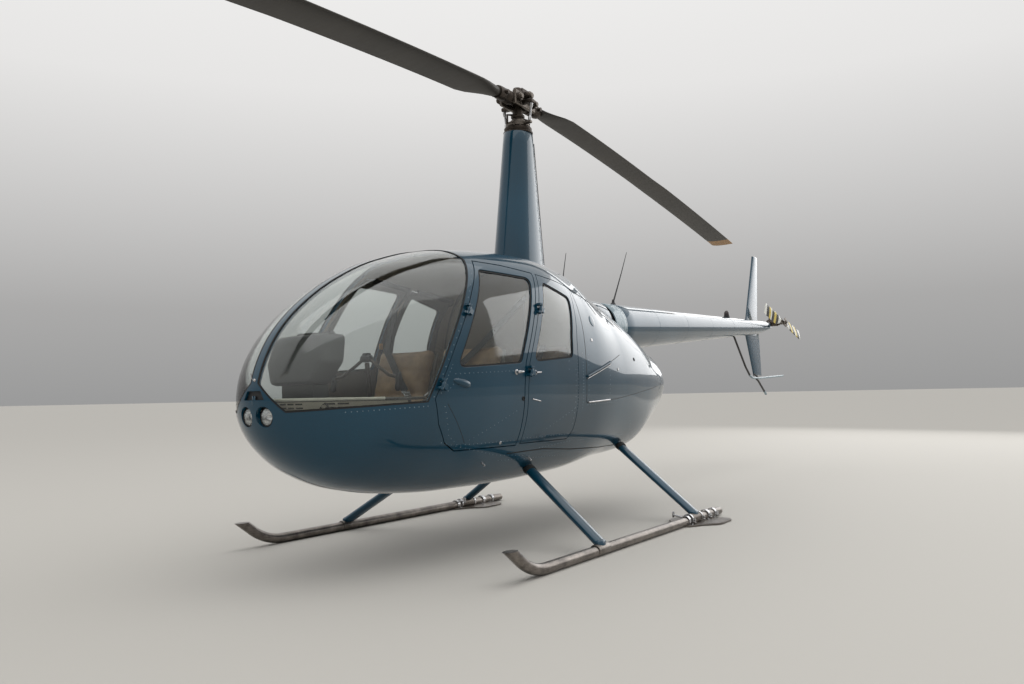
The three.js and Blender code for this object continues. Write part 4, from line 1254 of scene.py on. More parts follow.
def striped_blade_paint():
    """White, yellow and black bands slanting across the tail blades, in satin enamel."""
    mat, tree, shader, where = finish("striped_tail_blade_paint", "#d8d8d2", 0.42)
    # distance along the blade, with a slant across it; the same on both blades
    slant = 0.55
    along_blade = Vector((math.cos(TAIL_TURN) + slant * math.sin(TAIL_TURN), 0,
                          math.sin(TAIL_TURN) - slant * math.cos(TAIL_TURN)))
    centre = TAIL_HUB + Vector((MAST_X, 0, 0))
    from_hub = add(tree, "ShaderNodeVectorMath", {0: where, 1: tuple(centre)}, operation="SUBTRACT")
    length = add(tree, "ShaderNodeVectorMath", {0: from_hub.outputs["Vector"], 1: tuple(along_blade)},
                 operation="DOT_PRODUCT").outputs["Value"]
    far = add(tree, "ShaderNodeMath", {0: length}, operation="ABSOLUTE").outputs[0]
    share = joined(tree, "DIVIDE", far, TAIL_R)
    bands = ramp(tree, share, (0.0, "#d9d9d3"), (0.30, "#1b1c1d"), (0.42, "#c8b24e"), (0.53, "#1b1c1d"),
                 (0.65, "#dcdcd4"), (0.71, "#c8b24e"), (0.80, "#1b1c1d"), (0.93, "#d9d9d3"))
    bands.node.color_ramp.interpolation = "CONSTANT"
    tree.links.new(bands, shader.inputs["Base Color"])
    tree.links.new(spread(tree, noise(tree, where, 0.03, 4.0), 0.34, 0.5), shader.inputs["Roughness"])
    return mat


STRIPES = striped_blade_paint()


def on_tail_hub(part, half_turn=False):
    """A part drawn about the tail rotor's middle, put in its place."""
    turn = Matrix.Rotation(-TAIL_TURN + (math.pi if half_turn else 0), 4, "Y")
    return placed(part, Matrix.Translation(TAIL_HUB) @ turn)


def tail_blade(name, half_turn):
    """One striped tail blade."""
    rings = []
    for r in (0.1182, 0.14, 0.17, 0.2, 0.225, 0.3, 0.4, 0.48, 0.58, 0.66, 0.715, 0.730, 0.7365):
        chord, thick, pitch = (float(np.interp(r, TAIL_BLADE[:, 0], TAIL_BLADE[:, k])) for k in (1, 2, 3))
        trim = {0.730: 0.97, 0.7365: 0.85}.get(r, 1.0)
        c, s = math.cos(math.radians(pitch)), math.sin(math.radians(pitch))
        section = foil(chord * trim, thick * trim, 10)
        rings.append([Vector((r, a * s + b * c, a * c - b * s)) for a, b in section])
    shape = Shape()
    shape.put(on_tail_hub(rings_joined(rings), half_turn))
    shape.piece(f"tail_blade_{name}_skin", "tail_rotor", [STRIPES], "blade_paint",
                [f"tail_blade_{name}"], sharp=50)


def tail_rotor():
    """Two striped blades on a small teetering hub, with their pitch links and slider."""
    tail_blade("a", False)
    tail_blade("b", True)
    hub = Shape()
    for half_turn in (False, True):
        hub.put(on_tail_hub(turned([(0, 0.02), (0.020, 0.02), (0.022, 0.05), (0.020, 0.09), (0.0215, 0.1178),
                                    (0, 0.1178)], ORIGIN, AHEAD, 20), half_turn), 1)
        hub.put(on_tail_hub(tube([(0.052, 0.030, 0), (0.070, 0.006, 0.018)], 0.0055, 10), half_turn), 2)
        hub.put(on_tail_hub(bolt_head((0.095, 0.011, 0), LEFT, 0.008), half_turn), 2)
    hub.put(on_tail_hub(block((-0.112, -0.011, -0.024), (0.112, 0.011, 0.024), 0.003)))
    slider = [(0.0152, -0.045), (0.024, -0.045), (0.026, -0.03), (0.026, 0.022), (0.060, 0.024),
              (0.062, 0.027), (0.060, 0.031), (0.026, 0.033), (0.024, 0.045), (0.0152, 0.045),
              (0.0152, -0.045)]
    hub.put(on_tail_hub(turned(slider, ORIGIN, LEFT, 28), 1))
    hub.piece("tail_rotor_head", "tail_rotor", [STEEL, DARK_STEEL, BRIGHT], "steel", ["tail_rotor_hub"])


def tail_gearbox():
    """The small cast gearbox behind the boom, with cooling ribs and its output shaft."""
    shape = Shape()
    front = BOOM_REAR - 0.0006
    x, z = TAIL_HUB.x, TAIL_HUB.z
    shape.put(turned([(0, 0), (0.039, 0), (0.039, 0.010), (0.034, 0.014), (0.033, 0.030), (0.033, 0.12),
                      (0, 0.12)], (front, 0, 1.806), (-1, 0, 0.16), 24))
    ball = [(0, -0.054), (0.02, -0.050), (0.038, -0.038), (0.050, -0.020), (0.054, -0.004), (0.054, 0.004),
            (0.050, 0.020), (0.040, 0.036), (0.038, 0.06), (0.036, 0.09), (0.033, 0.128), (0.0143, 0.128),
            (0.0143, 0.195), (0, 0.196)]
    shape.put(turned(ball, (x, 0, z), LEFT, 28))
    for k in range(4):
        y = 0.050 + 0.016 * k
        rib = [(0.030, y), (0.043, y), (0.043, y + 0.005), (0.030, y + 0.005), (0.030, y)]
        shape.put(turned(rib, (x, 0, z), LEFT, 28), 1)
    shape.put(turned([(0, 0), (0.014, 0), (0.014, 0.02), (0.010, 0.026), (0, 0.026)],
                     (x, 0, z + 0.048), UP, 16), 1)
    shape.put(turned([(0, 0), (0.020, 0), (0.020, 0.018), (0, 0.018)],
                     (x + 0.01, -0.03, z - 0.045), (0.2, -0.1, -1), 16), 1)
    shape.piece("tail_gearbox_casting", "airframe", [DARK_STEEL, STEEL], "black_plastic", ["tail_gearbox"])


def tail_guard():
    """The bent guard tube, dark above and pale along the bottom, with the skid under it."""
    shape = Shape()
    path = rounded_path([(-4.480, 0, 1.642), (-4.743, 0.050, 1.245), (-4.866, 0.060, 1.136),
                         (-4.925, 0.070, 1.110), (-5.136, 0.080, 1.108), (-5.961, 0.120, 1.144)], 0.12, 6)
    split = next(i for i, p in enumerate(path) if p.x < -4.85)
    shape.put(tube(path[:split + 1], 0.012, 16))
    shape.put(tube(path[split:], 0.0122, 16), 1)
    shape.put(tube([(-5.040, 0.076, 1.102), (-5.110, 0.078, 1.075), (-5.437, 0.060, 0.912)], 0.012, 16))
    shape.put(tube([(-5.360, 0.0645, 0.951), (-5.4365, 0.060, 0.9125)], 0.0145, 16), 1)
    shape.put(tube([(-5.15, 0.010, 1.165), (-5.14, 0.080, 1.108)], 0.009, 10))
    shape.piece("tail_guard_tube", "airframe", [GREY_VINYL, PALE_PAINT_AND_SHEEN], "paint", ["tail_guard"], sharp=60)


def beacon_and_aerials():
    """The smoked beacon on the boom, and two whip aerials on the roof cowl and the boom."""
    shape = Shape()
    x = -4.303
    top = boom_height(x) + boom_radius(x)
    shape.put(turned([(0, -0.01), (0.036, -0.01), (0.036, 0.012), (0.031, 0.016), (0.030, 0.03), (0, 0.03)],
                     (x, 0, top), UP, 28))
    shape.put(turned([(0, 0.028), (0.029, 0.028), (0.030, 0.036), (0.029, 0.056), (0.022, 0.072),
                      (0.010, 0.081), (0, 0.083)], (x, 0, top), UP, 28), 1)
    x, y = -0.431, 0.1
    roof = roof_height(x, y)
    shape.put(turned([(0, 0), (0.016, 0), (0.012, 0.012), (0.006, 0.03), (0, 0.03)],
                     (x, y, roof - 0.004), (-0.3, 0, 1), 16))
    shape.put(tube([(x, y, roof), (-0.465, y, 1.94), (-0.50, y, 2.07)], [0.005, 0.0035, 0.0022], 8))
    x = -1.471
    base = Vector((x, 0, boom_height(x) + boom_radius(x) - 0.004))
    shape.put(turned([(0, 0), (0.030, 0), (0.026, 0.010), (0.014, 0.022), (0.010, 0.05), (0, 0.05)], base,
                     (-0.1, 0, 1), 20))
    tip = Vector((-1.764, 0, 2.249))
    shape.put(tube([base + Vector((0, 0, 0.02)), base.lerp(tip, 0.2) + Vector((0, 0, 0.012)),
                    base.lerp(tip, 0.6), tip], [0.008, 0.0065, 0.0045, 0.0025], 8))
    shape.piece("beacon_and_aerials", "airframe", [BLACK, SMOKED], "black_plastic")


def build_tail():
    """Everything behind the cabin's cowls."""
    tail_boom()
    boom_neck()
    tail_surfaces()
    tail_rotor()
    tail_gearbox()
    tail_guard()
    beacon_and_aerials()


build_tail()


# Landing gear
SKID_Y, SKID_R = 1.042, 0.032
TIP_START, TIP_BEND, TIP_RISE, TIP_TOP = 1.380, 0.420, math.radians(36), 0.172


def skid_path():
    """The skid tube's centre line, from the rear end to the raised front."""
    path = [(x, SKID_Y, SKID_R) for x in (-1.147, -1.05, 0.2, TIP_START)]
    for k in range(1, 13):
        a = TIP_RISE * k / 12
        path.append((TIP_START + TIP_BEND * math.sin(a), SKID_Y, SKID_R + TIP_BEND * (1 - math.cos(a))))
    x, _, z = path[-1]
    path.append((x + 0.2 * math.cos(TIP_RISE), SKID_Y, z + 0.2 * math.sin(TIP_RISE)))
    return path


def skid_tube():
    """The tube, cut flat at its raised front end."""
    sides = 28
    path = skid_path()
    points, faces = tube(path, [0.029] + [SKID_R] * (len(path) - 1), sides)
    slope = Vector((math.cos(TIP_RISE), 0, math.sin(TIP_RISE)))
    for i in range(len(points) - sides, len(points)):
        p = Vector(points[i])
        points[i] = p + slope * ((TIP_TOP - p.z) / slope.z)
    return points, faces


def paw_outline():
    """The flat paw under the skid's rear end, widest behind its middle."""
    half = [(-0.430, 0), (-0.450, 0.060), (-0.560, 0.110), (-0.640, 0.192), (-0.700, 0.206), (-0.880, 0.200),
            (-0.945, 0.160), (-0.960, 0.060), (-0.960, 0)]
    whole = half + [(x, -y) for x, y in half[-2:0:-1]]
    return [(x, SKID_Y + y) for x, y in eased(whole, 0.03, 3)]


def clamp(x, width, radius):
    """A band round the skid with its two lugs and a bolt through them."""
    band = [(SKID_R, 0), (radius - 0.001, 0), (radius, 0.001), (radius, width - 0.001),
            (radius - 0.001, width), (SKID_R, width), (SKID_R, 0)]
    parts = [turned(band, (x, SKID_Y, radius), AHEAD, 28)]
    y = SKID_Y + radius
    for low, high in ((-0.012, -0.004), (0.002, 0.010)):
        parts.append(block((x + width * 0.15, y - 0.003, SKID_R + low),
                           (x + width * 0.85, y + 0.016, SKID_R + high), 0.002))
    parts.append(bolt_head((x + width * 0.5, y + 0.009, SKID_R + 0.010), UP, 0.0055))
    return parts


def skids():
    """Both skids with their saddles, bands, towing pins and paws."""
    for side, name in ((1, "left"), (-1, "right")):
        shape = Shape()

        def put(part, number=0):
            shape.put(beside(part, side), number)
        put(skid_tube())
        put(slab(paw_outline(), 0.0045, 0.0118, 2))
        plate = [(-0.600, 0.072), (-0.640, 0.185), (-0.700, 0.199), (-0.878, 0.193), (-0.895, 0.170),
                 (-0.895, 0.072)]
        put(slab(eased([(x, SKID_Y + y) for x, y in plate], 0.012, 3), 0.0116, 0.0134, 2))
        # saddle that carries the rear leg, and the bands behind it
        put(turned([(SKID_R, 0), (0.0375, 0.001), (0.038, 0.004), (0.038, 0.186), (0.0375, 0.189),
                    (SKID_R, 0.190), (SKID_R, 0)], (-0.735, SKID_Y, 0.038), AHEAD, 32), 1)
        for x, width, radius in ((-0.880, 0.035, 0.0378), (-1.010, 0.030, 0.0360), (-0.560, 0.020, 0.0400),
                                 (-0.735, 0.020, 0.0400)):
            for part in clamp(x, width, radius):
                put(part, 2)
        for x in (-0.92, -0.80, -0.50):
            for y in (SKID_Y + 0.050, SKID_Y - 0.050):
                put(bolt_head((x, y, 0.0118), UP, 0.007), 2)
        # towing pin with its end plate
        put(tube([(-0.500, SKID_Y, 0.056), (-0.500, SKID_Y - 0.092, 0.072)], 0.008, 14), 2)
        put(block((-0.512, SKID_Y - 0.100, 0.054), (-0.488, SKID_Y - 0.090, 0.098), 0.003), 2)
        put(turned([(SKID_R, 0), (0.0365, 0), (0.0365, 0.03), (SKID_R, 0.03), (SKID_R, 0)],
                   (-0.515, SKID_Y, 0.0365), AHEAD, 28), 2)
        # front leg's foot
        put(turned([(SKID_R, 0), (0.0355, 0.001), (0.036, 0.003), (0.036, 0.137), (0.0355, 0.139),
                    (SKID_R, 0.140), (SKID_R, 0)], (0.700, SKID_Y, 0.036), AHEAD, 28))
        shape.piece(f"skid_{name}_tube", "airframe", [ALLOY, STEEL, BRIGHT], "bare_alloy", [f"skid_{name}"],
                    sharp=40)


LEG_DEEPER = 1.85


def deepened(part):
    """A part stretched along X, which gives a round leg its streamlined section."""
    points, faces = part
    return [(p[0] * LEG_DEEPER, p[1], p[2]) for p in points], faces


def leg_pair(name, node, foot, knee):
    """A pair of streamlined legs joined across the belly, painted, with a foot on each skid."""
    shape = Shape()
    x, z = foot
    half = [Vector((x, SKID_Y - 0.002, z)), Vector(knee), Vector((knee[0], knee[1] - 0.09, knee[2] + 0.03))]
    squeezed = [Vector((p.x / LEG_DEEPER, p.y, p.z)) for p in half]
    path = rounded_path(squeezed + [Vector((p.x, -p.y, p.z)) for p in squeezed[::-1]], 0.03, 5)
    shape.put(deepened(tube(path, 0.027, 28)))
    socket = [(0, 0.046), (0.027, 0.046), (0.0268, 0.084), (0.020, 0.092), (0, 0.092)]
    for side in (1, -1):
        shape.put(deepened(turned(socket, (x / LEG_DEEPER, SKID_Y * side, 0), UP, 28)))
    shape.piece(name, "airframe", [PAINT], "paint", [node], sharp=50)


def leg_root(place, way, side):
    """A dark fairing plate where a leg goes into the belly."""
    x, y, z = place
    d = Vector(way).normalized()
    profile = [(0, -0.030), (0.030, -0.030), (0.0315, -0.005), (0.030, 0.004), (0, 0.004)]
    part = turned(profile, (x / LEG_DEEPER, y, z), (d.x / LEG_DEEPER, d.y, d.z), 24)
    return beside(deepened(part), side)


def build_gear():
    """The skids, the two pairs of legs and the plates where the legs go in."""
    skids()
    leg_pair("leg_front_tube", "leg_front", (0.770, 0.072), (0.575, 0.335, 0.541))
    leg_pair("leg_rear_tube", "leg_rear", (-0.660, 0.072), (-0.730, 0.340, 0.605))
    shape = Shape()
    for side in (1, -1):
        shape.put(leg_root((0.602, 0.432, 0.477), (-0.195, -0.705, 0.469), side))
        shape.put(leg_root((-0.725, 0.412, 0.552), (-0.07, -0.70, 0.533), side))
    shape.piece("leg_root_boots", "airframe", [RUBBER], "lining")


build_gear()


# Lamps in the nose
def pressure_pin():
    """The small bent tube that stands on the nose."""
    pin = Shape()
    z = 1.055
    root, n = Vector((nose_x(0, z), 0, z)), Vector((1, 0, 0.3)).normalized()
    pin.put(turned([(0, -0.004), (0.009, -0.004), (0.008, 0.004), (0.004, 0.010), (0, 0.010)], root, n, 16))
    pin.put(tube([root + n * 0.006, root + n * 0.022 + Vector((0, 0, 0.004)),
                  root + n * 0.024 + Vector((0, 0, 0.03))], 0.0022, 8))
    pin.piece("pressure_pin", "airframe", [BRIGHT], "steel")


def landing_lamps():
    """Chrome bowls with a frosted bulb behind clear lenses, in black bezels."""
    bowl = [(0.0, -0.052), (0.008, -0.051), (0.018, -0.046), (0.028, -0.036), (0.036, -0.022),
            (0.0415, -0.004), (0.0425, 0.0), (0.0435, -0.001), (0.037, -0.026), (0.028, -0.041),
            (0.018, -0.050), (0.0, -0.056)]
    bulb = [(0, -0.05), (0.007, -0.05), (0.0085, -0.036), (0.0075, -0.028), (0.004, -0.024), (0, -0.023)]
    bezel = [(0.0425, -0.008), (0.0495, -0.008), (0.0495, 0.002), (0.0475, 0.0035), (0.0435, 0.003),
             (0.0425, 0.001), (0.0425, -0.008)]
    glass = [(0, -0.0005), (0.042, -0.0005), (0.0425, 0.001), (0.030, 0.0048), (0.015, 0.0068), (0, 0.0075)]
    for side, name in ((1, "left"), (-1, "right")):
        y = LAMP_Y * side
        face = min(nose_x(y + LAMP_R * math.cos(a), LAMP_Z + LAMP_R * math.sin(a))
                   for a in np.linspace(0, 6, 12))
        base = face - 0.004
        shape = Shape()
        shape.put(turned(bowl, (base, y, LAMP_Z), AHEAD, 40))
        shape.put(turned(bulb, (base, y, LAMP_Z), AHEAD, 20), 1)
        shape.put(turned(bezel, (base, y, LAMP_Z), AHEAD, 40), 2)
        # spokes of the bulb's guard
        reach = 0.042
        for k in range(3):
            a = math.tau * k / 3 + 0.5
            end = (base - 0.004, y + reach * math.cos(a), LAMP_Z + reach * math.sin(a))
            shape.put(tube([(base - 0.024, y, LAMP_Z), end], 0.0012, 6), 3)
        shape.piece(f"lamp_bowl_{name}", "airframe", [CHROME, WHITE, RUBBER, BRIGHT], "lamp")
        lens = Shape()
        lens.put(turned(glass, (base - 0.001, y, LAMP_Z), AHEAD, 40))
        lens.piece(f"lamp_lens_{name}", "airframe", [LENS], "lamp", [f"landing_light_{name}"])


landing_lamps()
pressure_pin()


# Inside the cabin
FLOOR_Z = 0.520
FRONT_PIVOT, REAR_PIVOT = (1.09, 0.80), (0.25, 0.80)  # the seat backs lean about these


def fitted(part, inset=0.045):
    """A part whose points are drawn in where they would stand nearer than inset to the skin."""
    points, faces = part
    out = []
    for x, y, z in points:
        z = max(z, float(form(x)[1]) + inset)
        skin = on_section(np.array([x]), angle_of(np.array([x]), np.array([z])))[0]
        reach = max(skin[1] - inset, 0.01)
        out.append((x, min(max(y, -reach), reach), z))
    return out, faces


def voxel_block(name, low, high):
    """An object with a rounded block's skin, cut into even small faces."""
    work = bmesh.new()
    points, faces = block(low, high, 0.022)
    verts = [work.verts.new(p) for p in points]
    for face in faces:
        work.faces.new([verts[i] for i in face])
    bmesh.ops.recalc_face_normals(work, faces=work.faces)
    mesh = bpy.data.meshes.new(name)
    work.to_mesh(mesh)
    work.free()
    thing = linked(name, mesh)
    grid = thing.modifiers.new("grid", "REMESH")
    grid.mode = "VOXEL"
    grid.voxel_size = 0.013
    mesh = applied(thing)
    thing.modifiers.clear()
    thing.data = mesh
    return thing


def blown_up(thing):
    """The mesh of an object after a short cloth run with air pressure inside."""
    cloth = thing.modifiers.new("leather", "CLOTH")
    settings = cloth.settings
    settings.quality = 4
    settings.mass = 0.4
    settings.tension_stiffness = 18
    settings.compression_stiffness = 14
    settings.bending_stiffness = 4
    settings.use_pressure = True
    settings.uniform_pressure_force = 4.0
    settings.effector_weights.gravity = 0
    last = 14
    cloth.point_cache.frame_start, cloth.point_cache.frame_end = 1, last
    scene = bpy.context.scene
    for step in range(1, last + 1):
        scene.frame_set(step)
    mesh = applied(thing)
    scene.frame_set(1)
    return mesh


def stuffed(name, low, high, tilt, pivot, sewn):
    """A leather cushion: a rounded block blown up as cloth, with its movement kept small.

    It leans by tilt about the pivot (x, z), and sewn draws in its seams.
    """
    thing = voxel_block(name, low, high)
    mesh = thing.data
    start = vertex_places(mesh)
    mesh = blown_up(thing)
    move = vertex_places(mesh) - start
    length = np.linalg.norm(move, axis=1, keepdims=True)
    most = 0.020
    places = sewn(start + move * np.minimum(1, most / np.maximum(length, 1e-9)))
    c, s = math.cos(tilt), math.sin(tilt)
    x, z = places[:, 0] - pivot[0], places[:, 2] - pivot[1]
    places = np.stack([pivot[0] + x * c + z * s, places[:, 1], pivot[1] - x * s + z * c], 1)
    mesh.vertices.foreach_set("co", places.ravel())
    mesh.update()
    bpy.data.objects.remove(thing)
    mesh.name = name
    return mesh


def cushion(name, mesh, nodes=()):
    """Finishes a blown-up cushion as a padded piece on the airframe, with one subdivision."""
    mesh.transform(Matrix.Translation((MAST_X, 0, 0)))
    thing = linked(name, mesh)
    smooth = thing.modifiers.new("smooth", "SUBSURF")
    smooth.levels = smooth.render_levels = 1
    finished = applied(thing)
    bpy.data.objects.remove(thing)
    finished.name = name
    finished.materials.clear()
    finished.materials.append(LEATHER)
    finished.polygons.foreach_set("use_smooth", [True] * len(finished.polygons))
    piece = settle(finished, name, "airframe", nodes)


def pleats(axis, first, last, count, depth):
    """Sewn lines square to an axis, drawn in a little from front and back."""
    def drawn_in(places):
        out = places.copy()
        t = (places[:, axis] - first) / (last - first) * count
        near = np.abs(t - np.round(t))
        lines = (np.round(t) > 0) & (np.round(t) < count)
        pull = depth * np.exp(-(near / 0.10) ** 2) * lines
        out[:, 0] += np.sign(places.mean(0)[0] - places[:, 0]) * pull
        return out
    return drawn_in


def mirrored_mesh(mesh):
    """A cushion's mirror image for the right side."""
    copy = mesh.copy()
    copy.transform(Matrix.Scale(-1, 4, (0, 1, 0)))
    copy.flip_normals()
    return copy


def leaning(part, tilt, pivot):
    """A part leaning about a line across the cabin at the pivot (x, z)."""
    x, z = pivot
    turn = Matrix.Rotation(tilt, 4, "Y")
    return placed(part, Matrix.Translation((x, 0, z)) @ turn @ Matrix.Translation((-x, 0, -z)))


def seats():
    """Two front seats and a rear bench in tan leather, over vinyl boxes."""
    flat, lean, rear_lean = map(math.radians, (-4, -16, -9))
    cushions = {
        "front_seat_cushion": stuffed("seat", (1.145, 0.055, 0.745), (1.560, 0.495, 0.835), flat,
                                      (1.15, 0.79), pleats(1, 0.055, 0.495, 4, 0.006)),
        "front_seat_back": stuffed("back", (1.055, 0.040, 0.800), (1.140, 0.500, 1.285), lean,
                                   FRONT_PIVOT, pleats(2, 0.800, 1.285, 3, 0.007)),
        "rear_seat_cushion": stuffed("rear", (0.275, 0.030, 0.735), (0.670, 0.510, 0.820), flat,
                                     (0.30, 0.78), pleats(1, 0.030, 0.510, 4, 0.006)),
        "rear_seat_back": stuffed("rear_back", (0.215, 0.030, 0.800), (0.290, 0.505, 1.310), rear_lean,
                                  REAR_PIVOT, pleats(2, 0.800, 1.310, 4, 0.007)),
    }
    for side in ("left", "right"):
        nodes = {"front_seat_cushion": [f"front_seat_{side}"]}
        if side == "left":
            nodes["rear_seat_cushion"] = ["rear_seat"]
        for name, mesh in cushions.items():
            own = mesh.copy() if side == "left" else mirrored_mesh(mesh)
            cushion(f"{name}_{side}", own, nodes.get(name, ()))
    shape = Shape()
    front_box = [(1.110, FLOOR_Z), (1.510, FLOOR_Z), (1.550, 0.640), (1.575, 0.758), (1.115, 0.742),
                 (1.112, 0.640)]
    shape.put(fitted(slab(front_box, 0.052, 0.498)), both_sides=True)
    rear_box = [(0.180, FLOOR_Z), (0.500, FLOOR_Z), (0.500, 0.60), (0.640, 0.62), (0.668, 0.748),
                (0.180, 0.742), (0.180, 0.640)]
    shape.put(fitted(slab(rear_box, -0.505, 0.505)))
    # back shells behind the cushions
    shape.put(leaning(block((1.035, 0.050, 0.775), (1.062, 0.490, 1.272), 0.010), lean, FRONT_PIVOT),
              both_sides=True)
    shape.put(leaning(block((0.190, -0.505, 0.760), (0.222, 0.505, 1.225), 0.010), rear_lean, REAR_PIVOT))
    shape.piece("seat_boxes", "airframe", [TRIM], "lining")


def strap(path, facing):
    """A flat belt strap along a path, its face turned to a direction."""
    width, thick = 0.047, 0.0022
    points = rounded_path(path, 0.05, 5)
    rings = []
    for i, p in enumerate(points):
        way = (points[min(i + 1, len(points) - 1)] - points[max(i - 1, 0)]).normalized()
        n = Vector(facing) - way * Vector(facing).dot(way)
        n.normalize()
        side = way.cross(n)
        a, b = side * (width / 2), n * (thick / 2)
        rings.append([p + a + b, p - a + b, p - a - b, p + a - b])
    return rings_joined(rings)


def belts():
    """Shoulder belts from the door posts, with polished tongues beside the seats."""
    shape = Shape()
    for side in (1, -1):
        top = Vector((0.800, 0.545 * side, 1.560))
        low = Vector((1.155, 0.165 * side, 1.040))
        buckle = Vector((1.185, 0.105 * side, 0.990))
        shape.put(strap([top, Vector((1.045, 0.39 * side, 1.27)), low, buckle], (1, 0.1 * side, 0.5)))
        shape.put(strap([top, Vector((0.815, 0.560 * side, 1.35)), Vector((0.86, 0.56 * side, 1.15))],
                        (0.6, -side, 0)))
        way = (buckle - low).normalized()
        turn = way.to_track_quat("X", "Z").to_matrix().to_4x4()
        turn.translation = buckle
        shape.put(placed(block((-0.006, -0.026, -0.004), (0.010, 0.026, 0.004), 0.002), turn), 1)
        shape.put(placed(block((0.016, -0.022, -0.005), (0.050, 0.022, 0.005), 0.002), turn), 1)
        shape.put(strap([buckle + way * 0.04, Vector((1.20, 0.060 * side, 0.87)),
                         Vector((1.17, 0.040 * side, 0.78))], (1, 0, 0.5)))
        shape.put(turned([(0, 0), (0.020, 0), (0.020, 0.006), (0.012, 0.010), (0, 0.010)],
                         top + Vector((0, 0.012 * side, 0)), (0, -side, 0.2), 20), 1)
        rear = Vector((0.235, 0.33 * side, 1.30))
        shape.put(strap([rear, Vector((0.36, 0.33 * side, 1.10)), Vector((0.42, 0.20 * side, 0.86))],
                        (1, 0, 0.4)))
    shape.piece("seat_belts", "airframe", [BELT, BRIGHT], "seat")


def pod_x(x, z):
    """A place on the instrument pod, which leans back from its widest height."""
    return x - (z - 1.15) * 0.25


def console():
    """The instrument pod on its stalk: grey front shell, hood, and a panel of plain dials behind."""
    front = eased([(-0.226, 1.150), (-0.205, 1.302), (0.205, 1.302), (0.226, 1.150), (0.150, 1.030),
                   (-0.150, 1.030)], 0.055, 8)
    shape = Shape()
    shape.put(rings_joined([[Vector((pod_x(x, z), y, z)) for y, z in grown(front, grow)] for x, grow in (
        (2.048, -0.004), (2.052, 0.0), (2.150, 0.0), (2.176, -0.006), (2.192, -0.018), (2.198, -0.036))]))
    for y0, y1 in ((-0.10, 0.02), (0.09, 0.15)):
        shape.put(block((2.030, y0, 1.290), (2.085, y1, 1.316), 0.006))
    stalk = [(2.080, 0.600), (2.150, 0.80), (2.165, 1.05), (2.060, 1.05), (1.985, FLOOR_Z)]
    shape.put(fitted(slab(stalk, -0.115, 0.115), 0.05))
    dials = [(y, z, 0.036) for z in (1.245, 1.160) for y in (-0.135, -0.045, 0.045, 0.135)]
    dials += [(y, 1.082, 0.028) for y in (-0.06, 0.06)]
    for k, (y, z, r) in enumerate(dials):
        face = pod_x(2.049, z)
        glass = r * 0.84
        rim = [(glass, 0), (r, 0), (r, 0.005), (r * 0.9, 0.007), (glass, 0.004), (glass, 0)]
        shape.put(turned(rim, (face, y, z), BACK, 28), 1)
        shape.put(turned([(0, 0), (glass, 0), (glass, 0.001), (0, 0.001)], (face, y, z), BACK, 28), 2)
        a = 0.7 + 1.3 * k
        tip = (face - 0.002, y + r * 0.7 * math.cos(a), z + r * 0.7 * math.sin(a))
        shape.put(tube([(face - 0.002, y, z), tip], 0.0011, 4), 3)
    for y in (-0.09, -0.03, 0.03, 0.09):
        shape.put(turned([(0, 0), (0.009, 0), (0.008, 0.014), (0, 0.014)], (2.044, y, 0.90), BACK, 16), 1)
    shape.piece("instrument_console_shell", "airframe", [GREY_VINYL, BLACK, RUBBER, WHITE], "black_plastic",
                ["instrument_console"])


def plate_between(line, other, offset):
    """A thin plate between two lines, drawn out by an offset."""
    return rings_joined([list(ring) for ring in zip(line, other, [q - offset for q in other],
                                                    [p - offset for p in line])])


def dash():
    """The shelf round the nose: dark top, cream edge, and a beige skirt with dark slots."""
    shelf_z, half, steps = 0.952, 0.46, 26
    top = []
    for k in range(steps + 1):
        y = -half + 2 * half * k / steps
        top.append(Vector((nose_x(y * 1.12, shelf_z) - 0.062, y, shelf_z)))
    rear = [Vector((min(p.x - 0.02, 2.12 - 1.15 * abs(p.y)), p.y, 0.958)) for p in top]
    lower = [Vector((p.x - 0.020, p.y * 0.98, 0.870)) for p in top]
    shape = Shape()
    shape.put(plate_between(top, rear, Vector((0, 0, 0.012))))
    shape.put(tube(top[1:-1], 0.0085, 10), 1)
    shape.put(plate_between(top, lower, Vector((0.006, 0, 0))), 2)
    for k in range(3, steps - 3):
        if k % 5 in (0, 4):
            continue
        a, b, c, d = top[k], top[k + 1], lower[k], lower[k + 1]
        for t0, t1 in ((0.22, 0.34), (0.46, 0.58), (0.70, 0.82)):
            quad = [a.lerp(c, t0), b.lerp(d, t0), b.lerp(d, t1), a.lerp(c, t1)]
            middle = sum(quad, Vector()) / 4
            out = Vector((0.0016, 0.0016 * (1 if middle.y > 0 else -1), 0))
            quad = [middle + (p - middle) * 0.82 + out for p in quad]
            shape.put(rings_joined([quad, [p - out * 2.2 for p in quad]]), 3)
    shape.put(turned([(0.014, 0), (0.024, 0), (0.024, 0.006), (0.014, 0.008), (0.014, 0)],
                     lower[21].lerp(top[21], 0.5), (1, 0.6, 0.1), 24), 3)
    shape.piece("nose_shelf", "airframe", [GREY_VINYL, CREAM, BEIGE, RUBBER], "lining")


